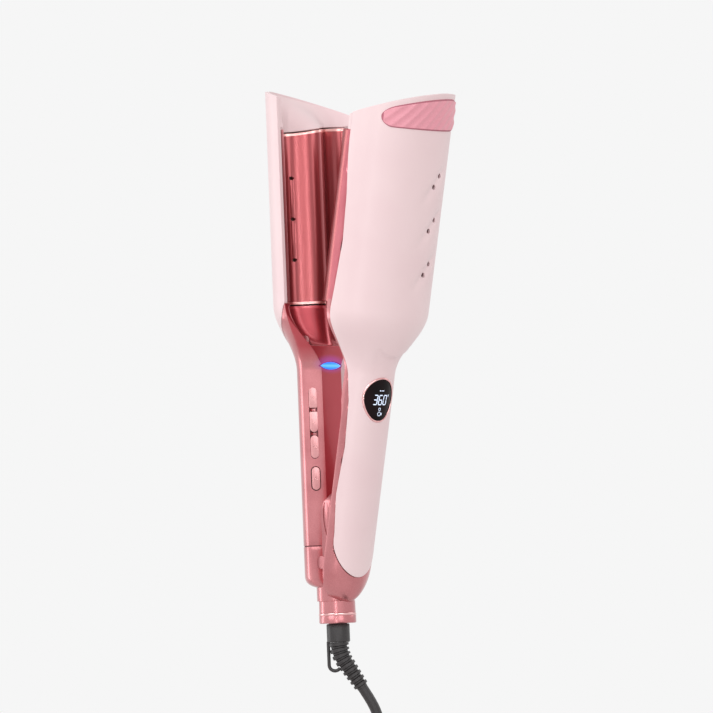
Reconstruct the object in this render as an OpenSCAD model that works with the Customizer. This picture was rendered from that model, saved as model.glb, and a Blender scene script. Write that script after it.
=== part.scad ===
// Hand-held hair waver: two sprung arms hinged at their lower end, with one pair of
// interlocking wave-shaped hot plates, a control handle and a swivel cord.
// Frame: X along the hinge pin, +Y the outside of the rear arm, +Z up along the rear arm.
// The origin lies on the plane where the closed jaws meet, a little below the hinge pin.

/* [Opening] */
// Angle between the arms when nothing squeezes them, in degrees
open_angle = 13.8; // [11:0.2:16]
// Gap between the arms on each side of the closing plane
closing_gap = 0.3; // [0.2:0.05:0.5]
// Gap left between the wave plates when the arms are closed
plate_gap = 0.5; // [0.4:0.1:1]

/* [Jaws] */
// Half the width of a jaw across the hair
jaw_half = 34; // [32:0.5:37]
// Depth of the rear jaw behind the closing plane
rear_jaw_depth = 28; // [27:0.5:31]
// Depth of the front jaw in front of the closing plane
front_jaw_depth = 30; // [29:0.5:32]
// Height of the lowest corner of a jaw's slanting tip
tip_low = 270; // [268:1:274]
// Rise of the tip for each millimetre away from the closing plane
tip_slope_out = 0.36; // [0.2:0.02:0.4]
// Rise of the tip for each millimetre across the jaw
tip_slope_side = 0.147; // [0.05:0.01:0.16]
// Depth of the straight part of the rear arm's sides
rear_side = 3; // [2:0.5:4]
// Depth of the straight part of the front arm's sides
front_side = 5.5; // [4:0.5:6]

/* [Handles] */
// Half the width of a handle
handle_half = 17.2; // [17:0.2:19]
// Depth of the rear handle
rear_handle_depth = 21.4; // [20.5:0.2:24]
// Depth of the front handle
front_handle_depth = 18; // [17:0.2:19]
// Height where the jaw starts to narrow
neck_top = 160; // [156:1:162]
// Height where the neck has become the handle
neck_bottom = 122; // [120:1:128]
// Lower end of the rear handle, below the hinge
rear_end = 5; // [4.5:0.5:6]
// Lower end of the front handle, below the hinge
front_end_drop = 8.4; // [7.8:0.2:8.8]
// Height over which the lower ends round in
end_round = 9; // [7:0.5:11]
// Width of the sloping facet along the rear handle's sides
facet_in = 9.4; // [9:0.2:10]
// Depth of that facet
facet_depth = 6.6; // [6.2:0.2:7.4]
// Size of the front handle's edge facet
edge_facet = 3.4; // [2:0.2:4]

/* [Walls] */
// Thickness of the shells and the inner frames
wall = 2; // [1.8:0.1:2.4]
// Sideways clearance between pieces that are assembled with each other
fit_gap = 0.2; // [0.1:0.05:0.3]
// Depth of the pale shell's edge below the rim at the jaws
rim_depth = 3.4; // [3:0.2:4]

/* [Wave plates] */
// Half the width of the rear plate's hair surface
plate_half = 29.6; // [29:0.1:29.8]
// Depth of the two valleys of the rear plate
wave_depth = 15; // [13:0.5:16]
// Depth of the middle ridge below the rear rim
ridge_drop = 3; // [2:0.5:5]
// Distance of each valley from the middle
valley_at = 17.5; // [16:0.5:19]
// Thickness of the plate metal
plate_t = 1.6; // [1.4:0.1:2]
// Lower edge of the plates
plate_low = 161; // [161:0.5:163]
// Upper edge of the plates
plate_high = 261; // [258:1:262]
// Diameter of the small round holes in the rear plate
plate_hole_d = 2.2; // [1.6:0.2:3]
// Height of the middle hole
plate_hole_z = 211; // [206:1:216]
// Distance between the holes
plate_hole_pitch = 24; // [20:1:27]

/* [Heating parts] */
// Width of a heating element
heater_w = 10; // [7:0.5:10]
// Thickness of a heating element
heater_t = 2.6; // [2:0.2:3]
// Length of a heating element
heater_l = 84; // [70:2:90]

/* [Finger pads and vents] */
// Lower edge of the finger pads
pad_low = 265.5; // [264:0.5:267]
// Thickness of the pads above the shell
pad_rise = 0.8; // [0.6:0.1:1.2]
// Diameter of a vent hole
vent_d = 3; // [2:0.2:3.6]
// Height of the middle vent
vent_z = 208; // [204:1:212]
// Distance between the vents
vent_pitch = 25.4; // [24:0.2:27]

/* [Buttons] */
// Width of the button recess
recess_w = 7.6; // [7:0.1:8]
// Lower end of the button recess
recess_low = 69.5; // [68:0.5:70]
// Length of the recess
recess_l = 43; // [42:0.5:44]
// Depth of the recess
recess_depth = 0.8; // [0.6:0.1:1]
// Width of a button
button_w = 4.7; // [4.2:0.1:5]
// Length of the mode button
mode_l = 13.2; // [12:0.2:13.6]
// Length of the plus and the minus button
rocker_l = 11.8; // [10.5:0.1:12]
// Length of the power button
power_l = 13.2; // [12:0.2:14]
// Middle of the power button
power_z = 59; // [57:0.5:60]
// Rise of the buttons above the recess floor
button_rise = 1.3; // [1.2:0.1:1.8]
// Travel of a button
button_travel = 0.8; // [0.5:0.1:1]
// Clearance round a button's key
button_gap = 0.3; // [0.2:0.05:0.4]

/* [Display and light] */
// Width of the display window
display_w = 21; // [19:0.5:22]
// Height of the display window
display_h = 22; // [20:0.5:23]
// Middle of the display
display_z = 107.5; // [104:0.5:110]
// Width of the rim round the display
bezel_w = 1; // [0.8:0.1:1.4]
// Length of the blue light
light_w = 15; // [12:0.5:16]
// Height of the blue light
light_h = 5.8; // [4.6:0.2:6.4]
// Height of the middle of the light
light_z = 124.4; // [122:0.4:126]

/* [Hinge and cord exit] */
// Height of the hinge pin above the origin
hinge_z = 10.3; // [9.5:0.1:11]
// Diameter of the hinge pin
pin_d = 3; // [2.6:0.2:3.4]
// Radial clearance of the pin in its bores
pin_clear = 0.05; // [0.03:0.01:0.08]
// Radius of the front arm's hinge cheeks
knuckle_r = 3.6; // [3.2:0.1:3.8]
// Outer end of the hinge cheeks
knuckle_out = 12.6; // [12:0.2:13]
// Radius of the hinge post between the arms
post_r = 9.6; // [9:0.1:9.8]
// Distance of the post's axis behind the closing plane
post_y = 2.2; // [2:0.1:3]
// Height of the rounded top of the hinge post
post_top = 51.5; // [48:0.5:54]
// Diameter of the collar
collar_d = 21.5; // [20:0.5:22.5]
// Distance of the collar's axis behind the closing plane
collar_y = 3.3; // [3:0.1:4]
// Upper face of the collar
collar_top = -12; // [-12.5:0.25:-11.75]
// Lower face of the collar
collar_low = -25; // [-27:0.5:-24]
// Diameter of the turning stub
stub_d = 13.4; // [12:0.2:14]
// Length of the stub below the collar
stub_l = 11; // [9:0.5:12]

/* [Cord] */
// Diameter of the cord
cord_d = 6; // [5.4:0.2:6.6]
// Diameter of the strain relief at its foot
relief_d = 10; // [9.4:0.2:10.6]
// Number of rings on the strain relief
relief_rings = 9; // [7:1:9]
// Length of the strain relief
relief_l = 30; // [28:1:32]
// Lean of the strain relief from straight down, in degrees
relief_lean = 32; // [28:1:36]
// Direction of the lean round the collar axis, in degrees
relief_turn = -42; // [-50:1:-34]
// Width of the tied hank of cord
hank_w = 42; // [40:1:44]
// Depth of the hank
hank_t = 42; // [40:1:44]
// Length of the hank
hank_l = 120; // [116:2:124]

/* [Hidden] */
$fn = 48;

shell_c = "#edd1d0";
rose_c = "#cb8d90";
plate_c = "#a54c4d";
black_c = "#2c2a2b";
far = 400;

// Share of the jaw's size at height z: 1 at the jaw, 0 at the handle
function jaw_share(z) =
    z >= neck_top ? 1
    : z <= neck_bottom ? 0
    : 0.5 + 0.5 * cos(180 * (neck_top - z) / (neck_top - neck_bottom));
// Share of the full section left at height z above a lower end at -low
function end_share(z, low) =
    z >= end_round - low ? 1 : sqrt(1 - pow((end_round - low - z) / end_round, 2) * 0.62);
function half_at(z, low) =
    (handle_half + (jaw_half - handle_half) * jaw_share(z)) * end_share(z, low);
function depth_at(z, low, handle_depth, jaw_depth) =
    (handle_depth + (jaw_depth - handle_depth) * jaw_share(z)) * end_share(z, low);

neck_steps = 8;
end_steps = 3;
top_z = tip_low + 24;
function heights(low) = concat(
    [for (i = [0 : end_steps]) -low + end_round * (1 - cos(90 * i / end_steps))],
    [for (i = [0 : neck_steps]) neck_bottom + (neck_top - neck_bottom) * i / neck_steps],
    [top_z]
);

// One level section: a flat inner face with cut corners and an outside arc
arc_steps = 22;
function section(half, depth, cut_x, cut_y, side) = concat(
    [[-half + cut_x, 0], [half - cut_x, 0]],
    [for (i = [0 : arc_steps])
        let (a = 180 * i / arc_steps, foot = max(cut_y, side))
        [half * cos(a), foot + (depth - foot) * sin(a)]]
);

// An arm as one solid, drawn in by off on the outside, with the rows between two heights
module arm(low, handle_depth, jaw_depth, cut_x, cut_y, side, off, from, to) {
    zs = [for (z = heights(low)) if (z >= from && z <= to) z];
    rows = [for (z = zs)
        let (s = (1 - jaw_share(z)) * end_share(z, low))
        section(half_at(z, low) - off, depth_at(z, low, handle_depth, jaw_depth) - off,
            max(0.4, cut_x * s), max(0.4, cut_y * s), side * end_share(z, low))];
    n = len(rows[0]);
    points = [for (i = [0 : len(zs) - 1]) for (p = rows[i]) [p[0], p[1], zs[i]]];
    sides = [for (i = [0 : len(zs) - 2]) for (j = [0 : n - 1])
        [i * n + j, (i + 1) * n + j, (i + 1) * n + (j + 1) % n, i * n + (j + 1) % n]];
    polyhedron(points, concat(
        sides,
        [[for (j = [0 : n - 1]) j]],
        [[for (j = [n - 1 : -1 : 0]) (len(zs) - 1) * n + j]]
    ), convexity = 6);
}
jaw_rows = [neck_top - 1, far];
low_rows = [-far, neck_bottom + 0.1];
up_rows = [neck_bottom - 1, far];
all_rows = [-far, far];
module rear_arm(off = 0, rows = all_rows) {
    arm(rear_end - off, rear_handle_depth, rear_jaw_depth, facet_in, facet_depth, rear_side,
        off, rows[0], rows[1]);
}
module front_arm(off = 0, rows = all_rows) {
    arm(front_end_drop - off, front_handle_depth, front_jaw_depth, edge_facet, edge_facet, front_side,
        off, rows[0], rows[1]);
}
// Everything of a jaw above its slanting tip, lowered by drop
module above_tip(drop = 0) {
    lean_y = atan(tip_slope_side);
    lean_x = atan(tip_slope_out * cos(lean_y));
    translate([jaw_half, 0, tip_low - drop])
        rotate([lean_x, lean_y, 0])
            translate([-far / 2, -far / 2, 0])
                cube([far, far, far]);
}
// Slab across both sides, from one depth to another, between two heights
module slab(y0, y1, z0, z1) {
    translate([-far / 2, y0, z0])
        cube([far, y1 - y0, z1 - z0]);
}
// Round bar along X, centred on the hinge axis
module bar_x(r, x0, x1) {
    translate([x0, 0, hinge_z])
        rotate([0, 90, 0])
            cylinder(r = r, h = x1 - x0);
}
// Round bar along Y
module bar_y(d, x, z, y0, y1) {
    translate([x, y0, z])
        rotate([-90, 0, 0])
            cylinder(d = d, h = y1 - y0, $fn = 32);
}
// Region outside the edge between the pale shell and the rose frame
rear_edge = [[40, -40], [40, 130], [19, 139], [12, 146], [5, 153], [closing_gap, 161]];
front_strip = 2.8;
front_edge = [[8, -40], [8.5, 26], [10.3, 56], [10.3, 80], [9.3, 107], [7, 121], [front_strip, 134]];
grip_seam = 10.6;
module shell_side(edge, shift = 0) {
    translate([-far / 2, 0, 0])
        rotate([90, 0, 90])
            linear_extrude(far)
                polygon(concat([for (p = edge) [p[0] + shift, p[1]]],
                    [[edge[len(edge) - 1][0] + shift, far], [far, far], [far, -40]]));
}

// ---- Wave plates ----
// Depth of a wave of the given half width below the rim, at distance x from the middle
function wave(x, half = plate_half) =
    let (u = min(abs(x), half))
    u > valley_at
        ? wave_depth * pow(max(0, 1 - pow((u - valley_at) / (half - valley_at), 3)), 1 / 3)
        : wave_depth - (wave_depth - ridge_drop) * (1 + cos(180 * u / valley_at)) / 2;
wave_steps = 30;
// Places across a wave, closer together at its steep sides
function wave_xs(half) = [for (i = [0 : wave_steps])
    let (t = 2 * i / wave_steps - 1) half * (0.35 * t + 0.65 * sin(90 * t))];
wave_x = wave_xs(plate_half);
// Section of a wave sheet whose hollow side has the given half width and starts at y
module wave_sheet(half, y) {
    inner = wave_xs(half);
    outer = wave_xs(half + plate_t);
    polygon(concat(
        [for (x = inner) [x, wave(x, half) + y]],
        [for (i = [wave_steps : -1 : 0])
            let (x = outer[i], share = abs(x / (half + plate_t)))
            [x, wave(x, half + plate_t) + y + plate_t * (1 - pow(share, 9))]]
    ));
}
// Room for the rear plate, with a gap all round its outside
module plate_room(gap) {
    half = plate_half + plate_t + gap;
    translate([0, 0, plate_low - fit_gap])
        linear_extrude(plate_high - plate_low + 2 * fit_gap)
            polygon(concat(
                [for (x = wave_xs(half))
                    [x, wave(x, half) + closing_gap + gap + plate_t * (1 - pow(abs(x) / half, 9))]],
                [[half, -2], [-half, -2]]));
}
// A solid lofted through rows of points. All rows have the same even number of points, and
// each row runs out and back, so that its ends are closed by strips of four-cornered faces.
module loft(rows) {
    m = len(rows[0]);
    last = len(rows) - 1;
    strips = [for (j = [0 : m / 2 - 2]) [j, j + 1, m - 2 - j, m - 1 - j]];
    polyhedron([for (r = rows) for (p = r) p], concat(
        [for (i = [0 : last - 1]) for (j = [0 : m - 1])
            [i * m + j, (i + 1) * m + j, (i + 1) * m + (j + 1) % m, i * m + (j + 1) % m]],
        strips,
        [for (f = strips) [for (k = [3 : -1 : 0]) last * m + f[k]]]
    ), convexity = 8);
}
// Hollow that carries the wave's valleys on below the plate and closes them in a round end
neck_l = 25;
neck_rows = 5;
module neck_hollow(shrink = 0, l = neck_l) {
    loft([for (k = [neck_rows : -1 : 0])
        let (t = sin(90 * k / neck_rows) * 0.98, z = plate_low - l * t,
            s = (half_at(z, rear_end) - jaw_half + plate_half - shrink) / plate_half)
        concat([for (x = wave_x) [x * s, -2, z]],
            [for (i = [wave_steps : -1 : 0])
                [wave_x[i] * s, max(0.05, (wave(wave_x[i]) - shrink) * sqrt(1 - t * t)), z]])]);
}
neck_play = 1.3;
// Flaring hollow of a tip, from a share of the wave at its foot to the round outside at the rim
tip_rows = 4;
module tip_hollow(share) {
    foot = plate_high + fit_gap - 0.1;
    rim = jaw_half - wall - fit_gap - 1;
    rim_deep = rear_jaw_depth - wall - fit_gap - 1.4;
    loft([for (k = [0 : tip_rows])
        let (t = k / tip_rows, z = foot + (top_z + 2 - foot) * t, half = plate_half + (rim - plate_half) * t)
        concat([for (x = wave_x) [x * half / plate_half, -2, z]],
            [for (i = [wave_steps : -1 : 0])
                let (x = wave_x[i], y0 = share * wave(x) + 0.8,
                    y1 = rear_side + (rim_deep - rear_side) * sqrt(max(0, 1 - pow(x / plate_half, 2))))
                [x * half / plate_half, y0 + (y1 - y0) * t, z]])]);
}

// ---- Pieces that both arms have, drawn with the outside towards +Y ----
vent_x = 13;
module vents() {
    for (i = [-1 : 1], k = [0, 1])
        bar_y(vent_d, -vent_x - 5 * k, vent_z + 6.4 * k + i * vent_pitch, wave_depth + 1, far);
}
// Children: the jaw's solid inside the shell
module jaw_tip(share) {
    color(shell_c)
        difference() {
            intersection() {
                children();
                slab(closing_gap, far, plate_high + fit_gap, far);
            }
            above_tip(0.6);
            tip_hollow(share);
        }
}
pad_half = 27.5;
pad_corner = 6;
// Children: the arm grown by the pad's rise, and the arm itself
module finger_pad() {
    color("#e08fa0")
        difference() {
            intersection() {
                children(0);
                translate([0, 8, pad_low])
                    rotate([-90, 0, 0])
                        linear_extrude(far)
                            hull()
                                for (s = [-1, 1], up = [0, 1])
                                    translate([s * (pad_half - pad_corner), -pad_corner - up * 30])
                                        circle(r = pad_corner, $fn = 32);
            }
            children(1);
            above_tip(3);
        }
}
// Rim round the plate, inside the shell of a jaw
module plate_rim() {
    difference() {
        intersection() {
            children();
            slab(closing_gap, rim_depth, 134, plate_high + fit_gap - 0.05);
        }
        translate([-plate_half - plate_t - fit_gap, -1, plate_low - fit_gap])
            cube([2 * (plate_half + plate_t + fit_gap), 20, far]);
    }
}

// ---- Rear arm ----
screw_x = 12.5;
neck_screw_z = 139.5;
screw_d = 2.4;
screw_head_d = 4.6;
screw_l = 12;
screw_seat = 2.2;
boss_d = 6;
boss_foot = 6;
plug_d = 5.6;
plug_l = 2.7;
// Depth of the seats of the screws under the neck plugs
neck_y = 11;
cap_top = 20;
cap_t = 1.3;
// The rear arm without the skin that the end cap fills
module rear_body() {
    difference() {
        rear_arm(0, low_rows);
        difference() {
            slab(-5, far, -40, cap_top + fit_gap);
            rear_arm(cap_t + 0.05, low_rows);
        }
    }
}
module rear_shell() {
    color(shell_c)
        difference() {
            union() {
                difference() {
                    intersection() {
                        rear_arm(0, up_rows);
                        shell_side(rear_edge, 0.05);
                    }
                    rear_arm(wall + 0.6, up_rows);
                }
                intersection() {
                    rear_arm(wall / 2, up_rows);
                    for (s = [-1, 1])
                        bar_y(boss_d, s * screw_x, neck_screw_z, wave_depth + 2.05, 40);
                }
            }
            for (s = [-1, 1])
                bar_y(screw_d, s * screw_x, neck_screw_z, 0, neck_y + screw_l);
            vents();
            plate_room(0.15);
            above_tip();
        }
}
// Children: the handle's outside, and the form of the hollow in it
module handle_tray(edge, z1) {
    difference() {
        intersection() {
            children(0);
            slab(closing_gap, far, -40, z1);
        }
        shell_side(edge, -0.05);
        intersection() {
            children(1);
            slab(closing_gap + wall, far, -40, far);
        }
    }
}
// The rear arm's rose handle, both halves together
module rear_handle() {
    handle_tray(rear_edge, 160.5) {
        union() {
            rear_body();
            rear_arm(0, up_rows);
        }
        rear_arm(wall + 0.6);
    }
}
module rear_grip() {
    color(rose_c)
        difference() {
            intersection() {
                rear_handle();
                slab(grip_seam + 0.05, far, -40, 170);
            }
            post_form(0.02);
            for (s = [-1, 1])
                bar_y(boss_d + 0.1, s * screw_x, neck_screw_z, neck_y - 1, far / 2);
        }
}
module rear_neck() {
    difference() {
        intersection() {
            rear_arm(wall + 0.6 + fit_gap, up_rows);
            slab(closing_gap, wave_depth + 2, 130, plate_low - fit_gap);
        }
        translate([-6.5, 10, 120])
            cube([13, 20, 60]);
        slab(closing_gap + wall, far, 120, 134);
    }
}
knuckle_gap = 0.4;
cheek_gap = 0.6;
// The round post between the arms, grown by grow
module post_form(grow = 0) {
    r = post_r + grow;
    translate([0, post_y, 0]) {
        translate([0, 0, collar_top])
            cylinder(r = r, h = post_top - post_r - collar_top);
        translate([0, 0, post_top - post_r])
            sphere(r = r);
    }
}
// Room in the rear arm for the front arm's hinge cheeks
module cheek_room() {
    for (s = [0, 180])
        rotate([0, 0, s])
            bar_x(knuckle_r + knuckle_gap, post_r - 2, far);
}
facet_turn = -atan2(facet_depth, facet_in);
// Stands children on the button facet at height z, with local Z outwards and local Y up
module on_facet(z) {
    translate([-handle_half + facet_in / 2, facet_depth / 2, z])
        rotate([90, 0, facet_turn])
            children();
}
module racetrack(w, l) {
    for (s = [-1, 1])
        translate([0, s * (l - w) / 2])
            circle(d = w);
    square([w, l - w], center = true);
}
recess_z = recess_low + recess_l / 2;
module almond(w, h) {
    r = (w * w / 4 + h * h / 4) / h;
    intersection() {
        translate([0, h / 2 - r])
            circle(r = r, $fn = 96);
        translate([0, r - h / 2])
            circle(r = r, $fn = 96);
    }
}
module light_hole(grow) {
    translate([0, closing_gap + wall + 2, light_z])
        rotate([90, 0, 0])
            linear_extrude(wall + 4)
                almond(light_w + 2 * grow, light_h + 2 * grow);
}
module rear_frame() {
    color(rose_c)
        difference() {
            union() {
                intersection() {
                    rear_handle();
                    slab(-1, grip_seam - 0.05, -40, 170);
                }
                rear_neck();
                plate_rim()
                    rear_arm(wall + 0.6 + fit_gap, up_rows);
            }
            neck_hollow();
            cheek_room();
            post_form(0.02);
            for (s = [-1, 1]) {
                bar_y(plug_d + 0.04, s * screw_x, neck_screw_z, 0, neck_y + 1.7);
                bar_y(screw_d + 0.4, s * screw_x, neck_screw_z, 0, far);
            }
            on_facet(recess_z)
                translate([0, 0, -4])
                    linear_extrude(20)
                        racetrack(recess_w + 2 * 0.05, recess_l + 2 * 0.05);
            on_facet(recess_z)
                translate([0, 0, -4])
                    linear_extrude(4 - recess_depth - bezel_t + bezel_lip_t + 0.05)
                        racetrack(recess_w + 2 * bezel_lip + 0.1, recess_l + 2 * bezel_lip + 0.1);
            on_facet(power_z)
                translate([0, 0, -4])
                    linear_extrude(20)
                        racetrack(button_w + 2 * button_gap, power_l + 2 * button_gap);
            light_hole(0.05);
        }
}
module rear_plate() {
    color(plate_c)
        difference() {
            translate([0, 0, plate_low])
                linear_extrude(plate_high - plate_low)
                    wave_sheet(plate_half, closing_gap);
            for (i = [-1 : 1])
                bar_y(plate_hole_d, -valley_at + 2, plate_hole_z + i * plate_hole_pitch, 10, 20);
        }
}
heater_y = closing_gap + wave_depth + plate_t + 0.1;
rear_heater_x = 16;
module heaters(x, y) {
    color("#d8cfc2")
        for (s = [-1, 1])
            translate([s * x - heater_w / 2, y, (plate_low + plate_high) / 2 - heater_l / 2])
                cube([heater_w, heater_t, heater_l]);
}
module rear_heaters() {
    heaters(rear_heater_x, heater_y);
}
carrier_t = 1.3;
module rear_carrier() {
    y = heater_y + heater_t;
    color("#c9b9a6")
        translate([0, 0, (plate_low + plate_high) / 2 - heater_l / 2 - 2]) {
            translate([-18.5, y, 0])
                cube([37, carrier_t, heater_l + 4]);
            translate([-3, closing_gap + wave(3) + plate_t + 0.1, 0])
                cube([6, y + 0.5 - closing_gap - wave(3) - plate_t - 0.1, heater_l + 4]);
        }
}
module rear_sensor() {
    color("#4a4644")
        translate([-8.5, closing_gap + wave(9) + plate_t + 0.2, plate_hole_z - 5])
            cube([3.5, 2.4, 10]);
}
module rear_tip() {
    jaw_tip(1)
        rear_arm(wall + 0.6 + fit_gap, jaw_rows);
}
module rear_pad() {
    finger_pad() {
        rear_arm(-pad_rise, jaw_rows);
        rear_arm(0, jaw_rows);
    }
}
module neck_plugs() {
    color("#a23c44")
        for (s = [-1, 1])
            difference() {
                bar_y(plug_d, s * screw_x, neck_screw_z, neck_y - plug_l, neck_y);
                bar_y(plug_d - 2.4, s * screw_x, neck_screw_z, 0, neck_y - plug_l + 0.3);
            }
}
module light_window() {
    color("#2f7fe8")
        intersection() {
            light_hole(0);
            slab(closing_gap, closing_gap + wall, 100, 140);
        }
}
board_t = 1.2;
module light_board() {
    color("#2e6b4a") {
        translate([-light_w / 2, closing_gap + wall + 1.4, light_z - 4])
            cube([light_w, board_t, 8]);
        for (x = [-4, 0, 4])
            translate([x - 1, closing_gap + wall + 0.5, light_z - 1])
                cube([2, 0.92, 2]);
    }
}
module main_board() {
    color("#2e6b4a") {
        translate([-7, 13.4, 36])
            cube([16, board_t, 78]);
        translate([1, 10.4, 55])
            cube([7, 3.02, 10]);
        translate([1, 11.6, 70])
            cube([7, 1.82, 7]);
    }
}
bezel_t = 1.8;
bezel_lip = 0.7;
bezel_lip_t = 0.95;
module button_bezel() {
    color("#b87475")
        on_facet(recess_z)
            difference() {
                union() {
                    translate([0, 0, -recess_depth - bezel_t])
                        linear_extrude(bezel_t)
                            racetrack(recess_w, recess_l);
                    translate([0, 0, -recess_depth - bezel_t])
                        linear_extrude(bezel_lip_t)
                            racetrack(recess_w + 2 * bezel_lip, recess_l + 2 * bezel_lip);
                }
                for (b = [[plus_z, rocker_l], [minus_z, rocker_l], [mode_z, mode_l]])
                    translate([0, b[0] - recess_z, -5])
                        linear_extrude(10)
                            racetrack(button_w + 2 * button_gap, b[1] + 2 * button_gap);
            }
}
mode_z = recess_low + 1.3 + mode_l / 2;
minus_z = mode_z + mode_l / 2 + 1.9 + rocker_l / 2;
plus_z = minus_z + rocker_l + 2.3;
flange_t = 0.8;
flange_z = -recess_depth - bezel_t - 0.1 - flange_t;
module button(z, w, l) {
    color("#ce8e8e")
        on_facet(z) {
            translate([0, 0, flange_z])
                linear_extrude(button_rise - recess_depth - flange_z)
                    racetrack(w, l);
            translate([0, 0, flange_z])
                linear_extrude(flange_t)
                    racetrack(w + 1.2, l + 1.2);
        }
}
module plus_button() {
    button(plus_z, button_w, rocker_l);
}
module minus_button() {
    button(minus_z, button_w, rocker_l);
}
module mode_button() {
    button(mode_z, button_w, mode_l);
}
module power_button() {
    button(power_z, button_w, power_l);
}
module switch_board() {
    z = flange_z - button_travel - 0.1;
    color("#2e6b4a") {
        on_facet(0)
            for (b = [plus_z, minus_z, mode_z, power_z])
                translate([0, b, z - 1.6])
                    cylinder(d = 3, h = 1.6);
        on_facet(0)
            translate([-3.5, power_z - 6, z - 1.6 - board_t + 0.02])
                cube([7, plus_z - power_z + 12, board_t]);
    }
}
module end_cap() {
    color(rose_c)
        difference() {
            intersection() {
                rear_arm(0, low_rows);
                slab(closing_gap, far, -40, cap_top);
            }
            rear_arm(cap_t, low_rows);
            cheek_room();
            post_form(0.02);
        }
}
wire_y = 8.2;
slot_turn = 62;
module hinge_post() {
    color(rose_c)
        difference() {
            post_form();
            for (s = [-1, 1])
                translate([0, post_y, post_top - 14])
                    rotate([90, 0, s * slot_turn])
                        translate([0, 0, post_r - 1.4])
                            linear_extrude(5)
                                rotate(90)
                                    almond(24, 3.4);
            bar_x(pin_d / 2, -far, far);
            bar_x(pin_d / 2 + spring_wire + 0.6, -spring_half - 0.3, spring_half + 0.3);
            translate([0, wire_y, collar_top - 1])
                cylinder(d = 3.4, h = far, $fn = 24);
        }
}
module hinge_pin() {
    color("#b9b6b2")
        bar_x(pin_d / 2, -knuckle_out, knuckle_out);
}
spring_half = 4;
spring_wire = 1;
spring_turns = 6;
module hinge_spring() {
    pitch = (2 * spring_half - spring_wire) / (spring_turns - 1);
    color("#9a9894")
        for (i = [0 : spring_turns - 1])
            translate([-spring_half + spring_wire / 2 + i * pitch, 0, hinge_z])
                rotate([0, 90, 0])
                    rotate_extrude()
                        translate([pin_d / 2 + 0.3 + spring_wire / 2, 0])
                            circle(d = spring_wire, $fn = 16);
}
module rear_screws() {
    color("#8f8d8a")
        for (s = [-1, 1]) {
            bar_y(screw_head_d, s * screw_x, neck_screw_z, neck_y + 0.05, neck_y + 1.6);
            bar_y(screw_d, s * screw_x, neck_screw_z, neck_y + 1.5, neck_y + screw_l);
        }
}
module rear_wires() {
    color("#b23a36") {
        translate([4.8, 12.2, 116])
            cylinder(d = 2.6, h = 90, $fn = 24);
        translate([0, wire_y, collar_low + collar_floor + flange_h + 0.8])
            cylinder(d = 3, h = 72, $fn = 24);
    }
}

// ---- Collar and turning stub ----
journal_d = 11;
flange_d = 14;
flange_h = 2;
turn_clear = 0.06;
collar_floor = 4;
stub_low = collar_low - stub_l;
module collar_axis() {
    translate([0, collar_y, 0])
        children();
}
module collar() {
    color("#cd9797")
        difference() {
            collar_axis() {
                translate([0, 0, collar_low])
                    cylinder(d = collar_d, h = ring_z + ring_h - collar_low);
                translate([0, 0, ring_z + ring_h])
                    cylinder(d1 = collar_d - 0.8, d2 = collar_d - 2, h = collar_top - ring_z - ring_h);
            }
            collar_axis() {
                translate([0, 0, collar_low - 1])
                    cylinder(d = journal_d + 2 * turn_clear, h = collar_floor + 2);
                translate([0, 0, collar_low + collar_floor])
                    cylinder(d = flange_d + 2 * 0.3, h = flange_h + 1);
            }
            collar_axis()
                translate([0, 0, ring_z])
                    rotate_extrude()
                        translate([collar_d / 2 - ring_t, 0])
                            square([ring_t + 1, ring_h]);
            translate([0, wire_y, collar_low + collar_floor + flange_h])
                cylinder(d = 3.4, h = 40, $fn = 24);
        }
}
ring_z = -20.5;
ring_h = 1.4;
ring_t = 0.8;
module collar_ring() {
    color("#f4c7c4")
        collar_axis()
            translate([0, 0, ring_z])
                difference() {
                    cylinder(d = collar_d + 0.3, h = ring_h);
                    translate([0, 0, -1])
                        cylinder(d = collar_d - 2 * ring_t, h = ring_h + 2);
                }
}
module swivel_stub() {
    color(black_c)
        collar_axis()
            difference() {
                union() {
                    translate([0, 0, stub_low])
                        cylinder(d = stub_d, h = stub_l - 0.3);
                    translate([0, 0, collar_low - 0.5])
                        cylinder(d = journal_d, h = collar_floor + 0.6);
                    translate([0, 0, collar_low + collar_floor + 0.1])
                        cylinder(d = flange_d, h = flange_h);
                }
                translate([0, 0, stub_low + 2])
                    cylinder(d = cord_d - 1, h = 40);
            }
}

// ---- Strain relief, loop and cord, in the plane of the relief's lean ----
bend_r = 21.5;
bend_l = bend_r * relief_lean * PI / 180;
// Sideways distance, height and lean of the point at length s along the relief
function relief_u(s) = s < bend_l ? bend_r * (1 - cos(s / bend_r * 180 / PI))
    : bend_r * (1 - cos(relief_lean)) + (s - bend_l) * sin(relief_lean);
function relief_z(s) = s < bend_l ? -bend_r * sin(s / bend_r * 180 / PI)
    : -bend_r * sin(relief_lean) - (s - bend_l) * cos(relief_lean);
function relief_a(s) = min(relief_lean, s / bend_r * 180 / PI);
relief_foot = [relief_u(relief_l), stub_low + relief_z(relief_l)];
module cord_plane() {
    collar_axis()
        rotate([0, 0, relief_turn])
            children();
}
module along_relief(s) {
    translate([relief_u(s), 0, stub_low + relief_z(s)])
        rotate([0, 180 - relief_a(s), 0])
            children();
}
module relief_ring(i, grow = 0) {
    step = relief_l / relief_rings;
    d = relief_d + 1.6 - i * 3.4 / relief_rings + grow;
    along_relief(i * step + 0.02) {
        cylinder(d = d, h = step * 0.6);
        cylinder(d = d - 2.2, h = step * 1.04);
    }
}
module strain_relief() {
    color("#3a3838")
        cord_plane()
            for (i = [0 : relief_rings - 1])
                relief_ring(i);
}
loop_u = -6;
loop_drop = 13;
loop_r = 3.4;
loop_wire = 2;
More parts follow.
